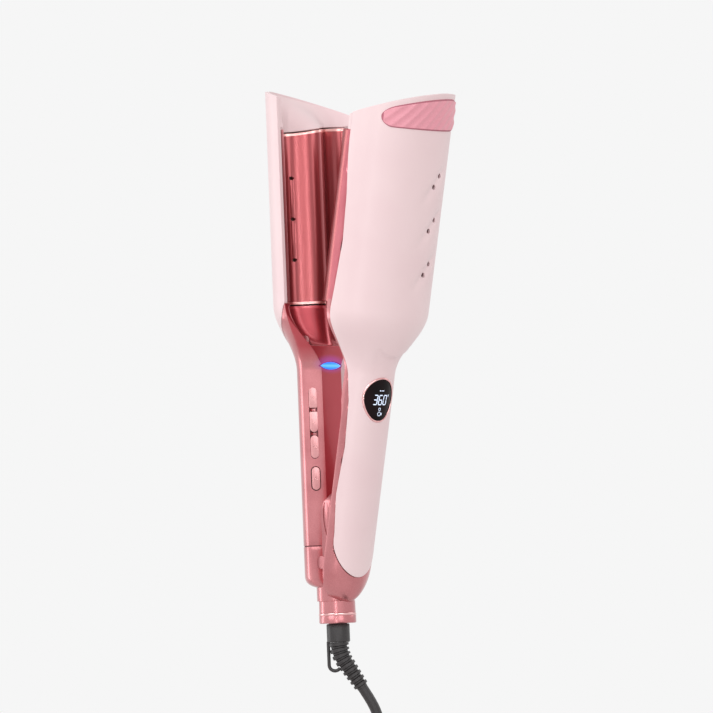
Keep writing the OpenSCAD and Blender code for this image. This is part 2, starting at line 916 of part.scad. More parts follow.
module hanging_loop() {
    color(black_c)
        cord_plane()
            difference() {
                translate([loop_u, 0, stub_low - loop_drop]) {
                    cylinder(d = loop_wire, h = loop_drop, $fn = 24);
                    rotate([90, 0, 0])
                        translate([loop_r, 0, 0])
                            rotate([0, 0, 180])
                                rotate_extrude(angle = 180)
                                    translate([loop_r, 0])
                                        circle(d = loop_wire, $fn = 24);
                }
                for (i = [0 : 6])
                    relief_ring(i, 0.1);
            }
}
// Direction of a route of [sideways, height] points at its point i
function unit(v) = v / norm(v);
function heading(route, i) =
    i == 0 ? unit(route[1] - route[0])
    : i == len(route) - 1 ? unit(route[i] - route[i - 1])
    : unit(unit(route[i] - route[i - 1]) + unit(route[i + 1] - route[i]));
// A round tube swept along a route
tube_sides = 10;
module tube(route, d) {
    loft([for (i = [0 : len(route) - 1])
        let (w = heading(route, i))
        [for (k = [0 : tube_sides - 1])
            let (a = 360 * k / tube_sides)
            [route[i][0] + w[1] * cos(a) * d / 2, sin(a) * d / 2, route[i][1] - w[0] * cos(a) * d / 2]]]);
}
hank_u = 24;
hank_top = -104;
hank_low = hank_top - hank_l;
// Depth of the hank's middle and of its last turn; the lead runs into its first turn
hank_v = (cord_d - hank_t) / 2;
tail_v = cord_d - hank_t;
// The cord's way from the relief to the hank
lead_route = [[19.5, -74], [22.4, -84], [23.7, -94], [hank_u, hank_top]];
module cord_lead() {
    color(black_c)
        cord_plane()
            tube(concat([relief_foot], lead_route), cord_d);
}
module cord_hank() {
    color(black_c)
        cord_plane()
            translate([hank_u, hank_v, (hank_top + hank_low) / 2])
                rotate([90, 0, 0])
                    linear_extrude(hank_t, center = true)
                        racetrack(hank_w, hank_l);
}
plug_l_all = 28;
plug_top = hank_low - 14;
module cord_tail() {
    color(black_c)
        cord_plane()
            translate([0, tail_v, 0])
                tube([[hank_u, hank_low], [hank_u, plug_top]], cord_d);
}
tie_t = 1.2;
tie_h = 10;
module cord_tie() {
    color("#1d1c1d")
        cord_plane()
            translate([hank_u, hank_v, (hank_top + hank_low) / 2 - tie_h / 2])
                difference() {
                    translate([-hank_w / 2 - tie_t, -hank_t / 2 - tie_t, 0])
                        cube([hank_w + 2 * tie_t, hank_t + 2 * tie_t, tie_h]);
                    translate([-hank_w / 2, -hank_t / 2, -1])
                        cube([hank_w, hank_t, tie_h + 2]);
                }
}
plug_w = 26;
plug_t = 17;
plug_neck_l = 8;
blade_gap = 12.7;
blade_w = 6.3;
blade_t = 1.5;
blade_l = 17.5;
module plug_body() {
    color(black_c)
        cord_plane()
            translate([hank_u, tail_v, plug_top - plug_l_all]) {
                intersection() {
                    translate([-plug_w / 2, -plug_t / 2, 0])
                        cube([plug_w, plug_t, plug_l_all - plug_neck_l]);
                    cylinder(d = plug_w + 2, h = plug_l_all);
                }
                translate([0, 0, plug_l_all - plug_neck_l])
                    cylinder(d1 = plug_t, d2 = 10, h = plug_neck_l);
            }
}
module plug_blades() {
    color("#c9b27a")
        cord_plane()
            translate([hank_u, tail_v, plug_top - plug_l_all - blade_l])
                for (s = [-1, 1])
                    translate([s * blade_gap / 2 - blade_t / 2, -blade_w / 2, 0])
                        cube([blade_t, blade_w, blade_l]);
}

// ---- Front arm, drawn with the outside towards +Y and then turned and opened ----
module swing(a) {
    translate([0, 0, hinge_z])
        rotate([a, 0, 0])
            translate([0, 0, -hinge_z])
                children();
}
module front() {
    swing(open_angle)
        rotate([0, 0, 180])
            children();
}
front_cap_t = 1.3;
front_arc_r = 20;
front_arc_low = 5;
// Region below the round lower edge of the pale handle panel
module below_panel(grow = 0) {
    difference() {
        slab(-5, far, -40, 40);
        translate([0, -10, front_arc_low + front_arc_r])
            rotate([-90, 0, 0])
                cylinder(r = front_arc_r - grow, h = far, $fn = 96);
        slab(-10, far, front_arc_low + front_arc_r, 60);
    }
}
module front_body() {
    difference() {
        front_arm();
        difference() {
            below_panel(fit_gap);
            front_arm(front_cap_t + 0.05, low_rows);
        }
    }
}
// What the front arm must leave free below the hinge when it swings open
module swing_room() {
    swing(open_angle)
        slab(-far, closing_gap, -far, hinge_z);
}
// Room round the hinge post, over the whole swing of the front arm
module post_room() {
    half = post_r + cheek_gap;
    deep = post_r - post_y + cheek_gap;
    low = 40;
    translate([-half, 0, 0])
        rotate([90, 0, 90])
            linear_extrude(2 * half)
                polygon([[-low, -low], [deep + (hinge_z + low) * tan(open_angle), -low], [deep, hinge_z],
                    [deep, post_top + cheek_gap], [-low, post_top + cheek_gap]]);
}
front_screw_x = 8;
front_screw_z = [68, 118];
module front_shell() {
    color(shell_c)
        front()
            difference() {
                union() {
                    difference() {
                        intersection() {
                            front_body();
                            shell_side(front_edge, 0.05);
                        }
                        front_arm(wall + 0.6);
                    }
                    intersection() {
                        front_arm(wall / 2, low_rows);
                        for (s = [-1, 1], z = front_screw_z)
                            bar_y(boss_d, s * front_screw_x, z, boss_foot + 0.05, 40);
                    }
                }
                for (s = [-1, 1], z = front_screw_z)
                    bar_y(screw_d, s * front_screw_x, z, 0, screw_seat + front_screw_l);
                vents();
                above_tip();
                display_cut(bezel_w + 0.05);
                swing_room();
                post_room();
            }
}
front_screw_l = 8;
front_floor = 9.6;
// Block of the front frame between two heights, drawn in by off below the shell's edge
module front_block(off, z0, z1) {
    intersection() {
        front_arm(off, low_rows);
        slab(closing_gap, front_edge[0][0] - 0.05, z0, z1);
    }
    intersection() {
        front_arm(wall + 0.65, low_rows);
        slab(closing_gap, front_floor, z0, z1);
    }
}
module front_frame() {
    color("#e09e9f")
        front()
            difference() {
                union() {
                    handle_tray(front_edge, plate_low - fit_gap) {
                        front_body();
                        front_arm(wall + 0.6);
                    }
                    front_block(wall, hinge_z + 5, post_top + 3);
                    front_block(front_cap_t + 0.05, -40, hinge_z + 6);
                    intersection() {
                        front_arm(wall + 0.6 + fit_gap, up_rows);
                        slab(closing_gap, rim_depth, 126, plate_low - fit_gap);
                    }
                    mirror([0, 1, 0])
                        neck_hollow(neck_play, neck_l - 4.5);
                    plate_rim()
                        union() {
                            front_arm(wall + 0.6 + fit_gap, jaw_rows);
                            intersection() {
                                front_arm(0, jaw_rows);
                                slab(0, front_strip - 0.05, 0, far);
                            }
                        }
                    for (s = [-1, 1], z = front_screw_z)
                        bar_y(boss_d + 1, s * front_screw_x, z, closing_gap, boss_foot);
                }
                for (s = [-1, 1], z = front_screw_z) {
                    bar_y(screw_head_d + 0.4, s * front_screw_x, z, -5, screw_seat);
                    bar_y(screw_d + 0.4, s * front_screw_x, z, 0, far);
                }
                swing_room();
                post_room();
                bar_x(knuckle_r, -far, far);
            }
}
// Bored cheeks that carry the front arm on the pin, one on each side of the post
module hinge_cheeks() {
    inner = post_r + cheek_gap;
    color("#e09e9f")
        front()
            difference() {
                for (side = [0, 1])
                    mirror([side, 0, 0])
                        bar_x(knuckle_r, inner, knuckle_out);
                bar_x(pin_d / 2 + pin_clear, -far, far);
            }
}
flank_gap = 0.5;
module front_plate() {
    half = plate_half - flank_gap;
    y = closing_gap - plate_gap;
    color(plate_c)
        front()
            mirror([0, 1, 0]) {
                translate([0, 0, plate_low])
                    linear_extrude(plate_high - plate_low)
                        wave_sheet(half - plate_t, y - plate_t);
                for (z = [plate_low, plate_high - plate_t])
                    translate([0, 0, z])
                        linear_extrude(plate_t)
                            polygon(concat(
                                [for (x = wave_xs(half - 0.4)) [x, wave(x, half - 0.4) + y - plate_t / 2]],
                                [[half - 0.4, -plate_t], [0.4 - half, -plate_t]]));
            }
}
front_heater_x = 19;
front_heater_half = plate_half - flank_gap - plate_t;
front_heater_y = closing_gap - plate_gap - plate_t - 0.1 + min(
    wave(front_heater_x - heater_w / 2, front_heater_half),
    wave(front_heater_x + heater_w / 2, front_heater_half));
module front_heaters() {
    front()
        heaters(front_heater_x, -front_heater_y);
}
module front_carrier() {
    color("#c9b9a6")
        front()
            translate([0, 0, (plate_low + plate_high) / 2 - heater_l / 2 - 2]) {
                translate([-27, 2, 0])
                    cube([54, carrier_t, heater_l + 4]);
                for (s = [-1, 1])
                    translate([s * front_heater_x - 3, heater_t - front_heater_y, 0])
                        cube([6, front_heater_y - heater_t + 2.1, heater_l + 4]);
            }
}
module front_sensor() {
    color("#4a4644")
        front()
            translate([-10.5, -5, plate_hole_z - 5])
                cube([3.5, 2.4, 10]);
}
module front_tip() {
    front()
        jaw_tip(0)
            union() {
                front_arm(wall + 0.6 + fit_gap, jaw_rows);
                intersection() {
                    front_arm(0, jaw_rows);
                    slab(0, front_strip - 0.05, 0, far);
                }
            }
}
module front_pad() {
    front()
        finger_pad() {
            front_arm(-pad_rise, jaw_rows);
            front_arm(0, jaw_rows);
        }
}
module egg(grow) {
    hull() {
        translate([0, 2.5])
            circle(d = display_w + 2 * grow);
        translate([0, -display_h / 2 + 5])
            circle(r = 5 + grow);
    }
}
module display_cut(grow) {
    translate([0, 13, display_z])
        rotate([90, 0, 180])
            linear_extrude(20)
                egg(grow);
}
module display_bezel() {
    color("#e4afb2")
        front()
            difference() {
                intersection() {
                    display_cut(bezel_w);
                    front_arm(-0.5, low_rows);
                }
                display_cut(0.02);
            }
}
module display_glass() {
    color("#121114")
        front()
            intersection() {
                display_cut(0);
                front_arm(-0.2, low_rows);
            }
}
module display_board() {
    color("#2e6b4a")
        front()
            translate([-7.5, 11, display_z - 9])
                cube([15, board_t, 15.5]);
}
module front_end() {
    color("#cd9797")
        front()
            difference() {
                intersection() {
                    front_arm(0, low_rows);
                    below_panel();
                    slab(closing_gap, far, -40, 60);
                }
                front_arm(front_cap_t, low_rows);
                swing_room();
                post_room();
                bar_x(knuckle_r, -far, far);
            }
}
module front_screws() {
    color("#8f8d8a")
        front()
            for (s = [-1, 1], z = front_screw_z) {
                bar_y(screw_head_d, s * front_screw_x, z, screw_seat - 1.5, screw_seat);
                bar_y(screw_d, s * front_screw_x, z, screw_seat - 0.1, screw_seat + front_screw_l);
            }
}
module front_wires() {
    color("#b23a36")
        front()
            translate([0, 7, post_top + 4])
                cylinder(d = 2.6, h = 66, $fn = 24);
}

rear_shell();
rear_frame();
rear_plate();
rear_carrier();
rear_heaters();
rear_sensor();
rear_tip();
rear_pad();
rear_grip();
neck_plugs();
light_window();
light_board();
main_board();
button_bezel();
switch_board();
end_cap();
hinge_post();
hinge_pin();
hinge_spring();
collar();
collar_ring();
rear_screws();
rear_wires();
plus_button();
minus_button();
mode_button();
power_button();
front_shell();
front_frame();
front_plate();
front_carrier();
front_heaters();
front_sensor();
front_tip();
front_pad();
display_bezel();
display_glass();
display_board();
front_end();
hinge_cheeks();
front_screws();
front_wires();
swivel_stub();
strain_relief();
hanging_loop();
cord_lead();
cord_hank();
cord_tail();
cord_tie();
plug_body();
plug_blades();
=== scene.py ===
# %% [markdown]
# # A hair waver
# The tool has two arms hinged at their feet. Each jaw carries a hot plate pressed into deep
# waves, and the two plates mesh. The casings are pale pearl plastic over a rose metallic
# inner body. The construction comes from the CAD frame; this file gives it its looks.

# %% Load the frame
import bpy
import math
from collections import namedtuple
from mathutils import Matrix, Vector


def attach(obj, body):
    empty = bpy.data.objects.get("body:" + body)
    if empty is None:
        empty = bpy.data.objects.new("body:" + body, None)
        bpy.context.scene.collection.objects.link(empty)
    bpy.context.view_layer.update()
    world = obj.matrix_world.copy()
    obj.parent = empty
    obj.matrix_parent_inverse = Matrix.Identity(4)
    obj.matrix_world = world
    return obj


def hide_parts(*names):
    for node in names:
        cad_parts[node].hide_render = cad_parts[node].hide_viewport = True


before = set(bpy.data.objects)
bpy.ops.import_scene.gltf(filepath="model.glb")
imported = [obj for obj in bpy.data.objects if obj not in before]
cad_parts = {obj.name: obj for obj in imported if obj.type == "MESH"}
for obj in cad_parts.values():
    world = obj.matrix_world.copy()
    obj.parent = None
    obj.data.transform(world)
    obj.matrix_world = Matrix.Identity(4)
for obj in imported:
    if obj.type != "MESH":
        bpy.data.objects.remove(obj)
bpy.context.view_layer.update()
bpy.ops.object.select_all(action="DESELECT")
MM = 0.001

# %% [markdown]
# ## The main sizes
# The same few sizes drive every piece, in millimetres. X runs along the hinge pin, +Y out of
# the rear arm's back and +Z up along the rear arm.

# %% Sizes
OPEN_ANGLE = 13.8
HINGE_Z = 10.3
CLOSING_GAP = 0.3
JAW_HALF = 34.0
HANDLE_HALF = 17.2
NECK_TOP, NECK_BOTTOM = 160.0, 122.0
TIP_LOW, TIP_SLOPE_OUT, TIP_SLOPE_SIDE = 270.0, 0.36, 0.147
PLATE_HALF, PLATE_LOW, PLATE_HIGH, PLATE_T = 29.6, 161.0, 261.0, 1.6
WAVE_DEPTH, RIDGE_DROP, VALLEY_AT = 15.0, 3.0, 17.5
SHELL_T = 2.2
SKIN_DROP = 0.3  # how far the rose body lies under the pale shell
LIGHT_W, LIGHT_H, LIGHT_Z = 15.0, 5.8, 124.4
SIDES = (-1, 1)

# low is how far the arm reaches below Z = 0, cut_x and cut_y are the sides of its sloping facet,
# side is its straight side, and the last three say how its lower end rounds in.
Arm = namedtuple("Arm", "low handle_depth jaw_depth cut_x cut_y side end_round end_power depth_power")
REAR = Arm(5.0, 21.4, 28.0, 9.4, 6.6, 3.0, 9.0, 3, 1)
FRONT = Arm(12.0, 18.0, 30.0, 3.4, 3.4, 5.5, 24.0, 2.2, 0.35)


def spread(a, b, n):
    """n + 1 even steps from a to b."""
    return [a + (b - a) * i / n for i in range(n + 1)]


def smooth(t):
    """Rises softly from 0 to 1 as t does."""
    t = min(1.0, max(0.0, t))
    return t * t * (3 - 2 * t)


def jaw_share(z):
    """1 at the jaw, 0 at the handle."""
    t = min(1.0, max(0.0, (NECK_TOP - z) / (NECK_TOP - NECK_BOTTOM)))
    return 0.5 + 0.5 * math.cos(math.pi * t)


def end_share(arm, z):
    """The share of the section's width left where the lower end rounds in."""
    t = min(1.0, max(0.0, (arm.end_round - arm.low - z) / arm.end_round))
    return max(0.0, 1 - t ** arm.end_power) ** (1 / arm.end_power)


def section(arm, z, off=0.0):
    """Half width, depth, both sides of the facet and the straight side of an arm at height z."""
    s, e = jaw_share(z), end_share(arm, z)
    half = (HANDLE_HALF + (JAW_HALF - HANDLE_HALF) * s) * e - off
    depth = (arm.handle_depth + (arm.jaw_depth - arm.handle_depth) * s) * e ** arm.depth_power - off
    cut_x, cut_y = (max(0.4, c * (1 - s) * e) for c in (arm.cut_x, arm.cut_y))
    return max(half, 0.01), max(depth, 0.01), cut_x, cut_y, max(cut_y, arm.side * e)


def tip_height(x, y):
    """Height of the slanting tip at a point of a jaw's section."""
    return TIP_LOW + TIP_SLOPE_OUT * y + TIP_SLOPE_SIDE * (JAW_HALF - x)


def wave(x, half=PLATE_HALF):
    """Depth of the wave below the rim."""
    u = min(abs(x), half)
    if u > VALLEY_AT:
        return WAVE_DEPTH * max(0.0, 1 - ((u - VALLEY_AT) / (half - VALLEY_AT)) ** 3) ** (1 / 3)
    return WAVE_DEPTH - (WAVE_DEPTH - RIDGE_DROP) * (1 + math.cos(math.pi * u / VALLEY_AT)) / 2


def wave_places(n, half=PLATE_HALF):
    """Places across a wave, closer together at its steep sides."""
    return [half * (0.35 * t + 0.65 * math.sin(math.pi / 2 * t)) for t in spread(-1, 1, n)]


TO_FRONT = (
    Matrix.Translation((0, 0, HINGE_Z * MM))
    @ Matrix.Rotation(math.radians(OPEN_ANGLE), 4, "X")
    @ Matrix.Translation((0, 0, -HINGE_Z * MM))
    @ Matrix.Rotation(math.pi, 4, "Z")
)

# %% [markdown]
# ## The camera
# The view is from the left and slightly from below, with a long lens, so the arms hardly
# converge. The camera is placed from its direction and distance, and its roll turns the
# picture a little.

# %% Camera
VIEW_AZIMUTH, VIEW_ELEVATION, VIEW_ROLL = -42.0, -4.046, 2.299
VIEW_DISTANCE, VIEW_HEIGHT, VIEW_SIDE, VIEW_WIDTH = 2286.1, 129.17, 14.746, 414.51
SENSOR = 36.0


def place_camera():
    a, e, r = (math.radians(v) for v in (VIEW_AZIMUTH, VIEW_ELEVATION, VIEW_ROLL))
    back = Vector((math.sin(a) * math.cos(e), -math.cos(a) * math.cos(e), math.sin(e)))
    right = Vector((math.cos(a), math.sin(a), 0))
    up = back.cross(right)
    target = (Vector((0, 0, VIEW_HEIGHT)) + right * VIEW_SIDE) * MM
    bpy.ops.object.camera_add(location=target + back * VIEW_DISTANCE * MM)
    camera = bpy.context.object
    x_axis = right * math.cos(r) - up * math.sin(r)
    y_axis = right * math.sin(r) + up * math.cos(r)
    turn = Matrix((x_axis, y_axis, back)).transposed()
    camera.rotation_euler = turn.to_euler()
    camera.data.sensor_width = SENSOR
    camera.data.lens = SENSOR * VIEW_DISTANCE / VIEW_WIDTH
    camera.data.clip_end = 20
    bpy.context.scene.camera = camera
    return camera


camera = place_camera()
print("lens", round(camera.data.lens, 1))

# %% [markdown]
# ## Materials
# Each finish starts from what the real one is. One function turns a written colour to
# linear, and one adds a node with its settings and what feeds it.

# %% Material helpers
def colour(text):
    """A colour written as sRGB hex, in linear light."""
    values = [int(text[i:i + 2], 16) / 255 for i in (0, 2, 4)]
    return tuple(v / 12.92 if v <= 0.04045 else ((v + 0.055) / 1.055) ** 2.4 for v in values) + (1.0,)


def add(tree, kind, inputs=None, **settings):
    """A node with its settings. Each input is given a value, or the socket that feeds it."""
    node = tree.nodes.new(kind)
    for key, value in settings.items():
        setattr(node, key, value)
    for key, value in (inputs or {}).items():
        if isinstance(value, bpy.types.NodeSocket):
            tree.links.new(value, node.inputs[key])
        else:
            node.inputs[key].default_value = value
    return node


def opened(m):
    """A material's node tree and its Principled shader."""
    return m.node_tree, m.node_tree.nodes["Principled BSDF"]


def start(name, base, **values):
    """A material with a Principled shader, its base colour and its other constants."""
    m = bpy.data.materials.new(name)
    m.use_nodes = True
    m.diffuse_color = colour(base)
    tree, shader = opened(m)
    shader.inputs["Base Color"].default_value = colour(base)
    for key, value in values.items():
        shader.inputs[key.replace("_", " ")].default_value = value
    return m, tree, shader


def places(tree):
    return add(tree, "ShaderNodeTexCoord").outputs["Object"]


def noise(tree, size, detail=2.0, where=None):
    """A cloud whose patches measure about so many millimetres."""
    inputs = {"Scale": 1 / (size * MM), "Detail": detail, "Vector": places(tree) if where is None else where}
    return add(tree, "ShaderNodeTexNoise", inputs).outputs["Fac"]


def maths(tree, operation, *values):
    """The result of an operation on numbers or sockets."""
    return add(tree, "ShaderNodeMath", dict(enumerate(values)), operation=operation).outputs["Value"]


def ranged(tree, value, low, high, key="From"):
    """Turns low to high into 0 to 1, or with the key "To" turns 0 to 1 into low to high."""
    inputs = {"Value": value, key + " Min": low, key + " Max": high}
    return add(tree, "ShaderNodeMapRange", inputs).outputs["Result"]


def ramp(tree, fac, dark, light, lo, hi):
    """A ramp between two linear colours, from one place to another."""
    node = add(tree, "ShaderNodeValToRGB", {"Fac": fac})
    for element, position, paint in zip(node.color_ramp.elements, (lo, hi), (dark, light)):
        element.position = position
        element.color = paint
    return node


def blend(tree, share, one, other):
    """A mix of two colours. A Mix node's colour inputs are numbers 6 and 7, its result number 2."""
    return add(tree, "ShaderNodeMix", {0: share, 6: one, 7: other}, data_type="RGBA").outputs[2]


def tint(tree, shader, fac, dark, light, lo=0.3, hi=0.7):
    """Lets a pattern move the base colour between two written colours."""
    node = ramp(tree, fac, colour(dark), colour(light), lo, hi)
    tree.links.new(node.outputs["Color"], shader.inputs["Base Color"])


def relief(tree, shader, height, depth_mm, strength):
    """Lets a pattern raise the surface by a depth in millimetres."""
    bump = add(tree, "ShaderNodeBump",
               {"Strength": strength, "Distance": depth_mm * MM, "Height": height})
    tree.links.new(bump.outputs["Normal"], shader.inputs["Normal"])


def rough_range(tree, shader, fac, lo, hi):
    tree.links.new(ranged(tree, fac, lo, hi, "To"), shader.inputs["Roughness"])


# %% [markdown]
# **Pearl painted ABS.** The casings are moulded ABS with a pearl paint: pale, satin, with a
# soft clear coat. Its flakes are far too fine to see, so only a faint cloud of tone and the
# slight ripple of sprayed paint are drawn.

# %% Pearl paint
def pearl_paint():
    m, tree, shader = start("pearl painted ABS", "eed3d3", Roughness=0.42, Coat_Weight=0.15,
                            Coat_Roughness=0.25, Specular_IOR_Level=0.4, Sheen_Weight=0.05)
    tint(tree, shader, noise(tree, 45), "e8d0d3", "ecd7d9")
    relief(tree, shader, noise(tree, 1.6, 1.0), 0.03, 0.25)
    return m


# %% [markdown]
# **Rose metallic lacquer.** The inner body is ABS under a metallic lacquer and a clear coat.
# The metal part of the shader gives the deep light-to-dark sweep, and a fine flake pattern,
# drawn at 0.5 mm so that it shows, breaks it up. Where the surface looks at the other arm or
# lies in the scoops, painted shade deepens its colour. Round the light the rear one has a
# violet glow painted into its colour.

# %% Rose lacquer
def rose_lacquer(name="rose metallic lacquer", base="bd7478", dark="b3686d", light="c98084",
                 metal=0.7, rough=0.28):
    m, tree, shader = start(name, base, Metallic=metal, Roughness=rough, Coat_Weight=0.5, Coat_Roughness=0.12)
    flakes = add(tree, "ShaderNodeTexVoronoi", {"Scale": 1 / (0.5 * MM), "Vector": places(tree)})
    flakes = flakes.outputs["Distance"]
    mixed = maths(tree, "MULTIPLY_ADD", flakes, 0.35, noise(tree, 20, 3.0))
    tint(tree, shader, mixed, dark, light, 0.35, 0.85)
    relief(tree, shader, flakes, 0.01, 0.15)
    return m


def paint_shade_inside(m, way):
    """Paints shade into a lacquer, softly, where the surface looks along way or lies in the scoops."""
    tree, shader = opened(m)
    coord = add(tree, "ShaderNodeTexCoord")
    height = add(tree, "ShaderNodeSeparateXYZ", {0: coord.outputs["Object"]}).outputs["Z"]
    facing = add(tree, "ShaderNodeVectorMath", {0: coord.outputs["Normal"], 1: way}, operation="DOT_PRODUCT")
    facing = facing.outputs["Value"]
    above = ranged(tree, height, 126 * MM, 136 * MM)
    in_scoop = maths(tree, "MULTIPLY", above, ranged(tree, facing, 0.1, 0.75))
    share = maths(tree, "MAXIMUM", in_scoop, ranged(tree, facing, 0.86, 0.97))
    outer = shader.inputs["Base Color"].links[0].from_socket
    # painted shade: the deeper reds laid where the surface faces the other arm or lies in the scoops
    deep = blend(tree, noise(tree, 20, 3.0), colour("b4414b"), colour("c24f58"))
    tree.links.new(blend(tree, share, outer, deep), shader.inputs["Base Color"])
    return m


def painted_glow_lacquer():
    """The rose lacquer, with the violet glow that the light throws on it close by, painted in as emission."""
    m = rose_lacquer("rose lacquer, painted glow by the light")
    tree, shader = opened(m)
    centre = (0, 0, -(LIGHT_Z + 1.0) * MM)
    moved = add(tree, "ShaderNodeMapping", {"Location": centre, "Vector": places(tree)})
    reach = (70, 60, 150)  # the glow ends at 0.95 over these, in metres
    squeezed = add(tree, "ShaderNodeVectorMath", {0: moved.outputs["Vector"], 1: reach}, operation="MULTIPLY")
    away = add(tree, "ShaderNodeVectorMath", {0: squeezed.outputs["Vector"]}, operation="LENGTH")
    fall = ramp(tree, away.outputs["Value"], colour("4a2fb0"), (0, 0, 0, 1), 0.35, 0.95)
    fall.color_ramp.interpolation = "EASE"
    # painted light: the glow is emission in the lacquer itself, strongest next to the light
    tree.links.new(fall.outputs["Color"], shader.inputs["Emission Color"])
    shader.inputs["Emission Strength"].default_value = 0.45
    return m


# %% [markdown]
# **Tourmaline coated aluminium.** The plates are pressed aluminium with a hard glossy
# coating. It is laid on in long strokes, so fine streaks run up the plate, and the deep
# valleys mirror each other.

# %% Plate coating
def plate_coat():
    m, tree, shader = start("tourmaline coated aluminium", "b0565a", Metallic=0.6, Roughness=0.27,
                            Coat_Weight=0.3, Coat_Roughness=0.15)
    long_way = add(tree, "ShaderNodeMapping", {"Scale": (1.0, 1.0, 0.02), "Vector": places(tree)})
    streaks = noise(tree, 1.2, 4.0, long_way.outputs["Vector"])
    tint(tree, shader, streaks, "9a3f43", "a84c50", 0.25, 0.75)
    rough_range(tree, shader, streaks, 0.2, 0.24)
    return m


# %% [markdown]
# **Soft parts and trim.** The finger pads are silicone, the cord is PVC, the display is a
# smoked acrylic lens, and the rims are plated. Each is named for that.

# %% Other finishes
def silicone():
    m, tree, shader = start("pink silicone", "e39aa8", Roughness=0.5, Sheen_Weight=0.15, Coat_Weight=0.1)
    grain = noise(tree, 0.6)
    tint(tree, shader, grain, "df93a2", "e8a1ae")
    relief(tree, shader, grain, 0.03, 0.3)
    return m


def moulded(name, base, light, rough, grain_mm=0.5):
    """A moulded plastic or rubber with a fine spark-eroded grain."""
    m, tree, shader = start(name, base, Roughness=rough)
    grain = noise(tree, grain_mm, 3.0)
    tint(tree, shader, grain, base, light)
    relief(tree, shader, grain, 0.04, 0.35)
    return m


def plated(name, base, light, rough):
    m, tree, shader = start(name, base, Metallic=1.0, Roughness=rough)
    cloud = noise(tree, 3)
    tint(tree, shader, cloud, base, light)
    rough_range(tree, shader, cloud, rough * 0.8, rough * 1.3)
    return m


def smoked_acrylic():
    m, tree, shader = start("smoked acrylic", "070406", Roughness=0.1, Specular_IOR_Level=0.12)
    tint(tree, shader, noise(tree, 14, 1.0), "060405", "1c0a0e")
    return m


def lit_segments():
    m, tree, shader = start("display segments", "c8d8ee", Roughness=0.3, Emission_Strength=0.75)
    shader.inputs["Emission Color"].default_value = colour("cfdcf2")
    return m


def blue_diffuser():
    """The light is brightest along its middle and falls to a deep blue at its edge."""
    m, tree, shader = start("blue light diffuser", "2a6fe0", Roughness=0.25, Emission_Strength=1.1)
    height = add(tree, "ShaderNodeSeparateXYZ", {"Vector": places(tree)}).outputs["Z"]
    off = maths(tree, "ABSOLUTE", maths(tree, "SUBTRACT", height, LIGHT_Z * MM))
    share = ranged(tree, off, 0.0, LIGHT_H * MM / 2)
    fall = ramp(tree, share, colour("6cc0ff"), colour("1a2fb8"), 0.0, 1.0)
    fall.color_ramp.elements.new(0.4).color = colour("2f8dff")
    tree.links.new(fall.outputs["Color"], shader.inputs["Emission Color"])
    return m


FRONT_WAY = (0, math.cos(math.radians(OPEN_ANGLE)), math.sin(math.radians(OPEN_ANGLE)))
pearl = pearl_paint()
rose = rose_lacquer()
rose_light = rose_lacquer("rose lacquer, buttons", "d9989a", "cc878a", "e4a9aa", 0.6, 0.27)
# painted light: a lighter, pinker copy of the rose lacquer for the front jaw's rim strip
rim_rose_painted_light = rose_lacquer("rose lacquer, jaw rims, painted light", "bf5f6c", "b65562", "c86b76", 0.6, 0.3)
# The two lacquers below carry painted shade where they face the other arm or lie in the scoops, and the rear
# one also a painted violet glow round the light.
rose_painted_glow_and_shade = paint_shade_inside(painted_glow_lacquer(), (0, -1, 0))
rose_front_painted_shade = paint_shade_inside(rose_lacquer("rose lacquer, front arm, painted shade"), FRONT_WAY)
coat = plate_coat()
# painted highlight: a lighter metal for the rear plate's bevelled edges
painted_edge_highlight = plated("painted edge highlight", "e6a8a4", "efbab5", 0.3)
rim_plate = plated("rose gold plating", "e2a9aa", "efc0bf", 0.18)
steel = plated("bright steel", "b4b2ae", "c8c6c2", 0.25)
brass = plated("nickelled brass", "c8b684", "d6c698", 0.2)
pad_pink = silicone()
pad_shade = moulded("shaded silicone edge", "a9606f", "b56b7a", 0.6)
black_pvc = moulded("black PVC", "242223", "333031", 0.42)
black_tie = moulded("black silicone tie", "171617", "242223", 0.55)
board_green = moulded("glass fibre board", "2c6648", "3b7c58", 0.35, 1.5)
mica = moulded("mica sheet", "c4b49f", "d5c8b5", 0.6, 2.0)
ceramic = moulded("alumina ceramic", "d2cabd", "e2dbd0", 0.5, 0.8)
wire_red = moulded("red silicone sleeve", "a83430", "bd443e", 0.5)
# painted shadow, laid in recesses and gaps where shade falls
painted_shadow = moulded("painted shadow", "6e3b40", "7d464b", 0.7)
lens = smoked_acrylic()
digits_lit = lit_segments()
blue = blue_diffuser()

# %% [markdown]
# ## Making pieces
# The big casings change their section all the way up, so no primitive comes close. A grid is
# added and each of its points is laid on the form by a formula; operators then merge, close,
# thicken and round it. Small parts are primitives shaped in edit mode.

# %% Modelling helpers
def active():
    return bpy.context.view_layer.objects.active


def named(o, name):
    o.name = o.data.name = name
    return o


def only(o):
    bpy.ops.object.select_all(action="DESELECT")
    o.select_set(True)
    bpy.context.view_layer.objects.active = o
    return o


def join(pieces):
    """Joins meshes into the first of them."""
    only(pieces[0])
    for o in pieces:
        o.select_set(True)
    if len(pieces) > 1:
        bpy.ops.object.join()
    return active()


def edit(o, *steps):
    """Runs edit-mode steps on the whole of a mesh."""
    only(o)
    bpy.ops.object.mode_set(mode="EDIT")
    bpy.ops.mesh.select_all(action="SELECT")
    for step in steps:
        step()
    bpy.ops.object.mode_set(mode="OBJECT")
    return o


def merge():
    bpy.ops.mesh.remove_doubles(threshold=0.00001)


def face_out():
    bpy.ops.mesh.normals_make_consistent(inside=False)


def close_holes():
    bpy.ops.mesh.select_all(action="DESELECT")
    bpy.ops.mesh.select_non_manifold(extend=False, use_wire=False, use_multi_face=False,
                                     use_non_contiguous=False, use_verts=False)
    bpy.ops.mesh.fill_holes(sides=0)
    bpy.ops.mesh.select_all(action="SELECT")


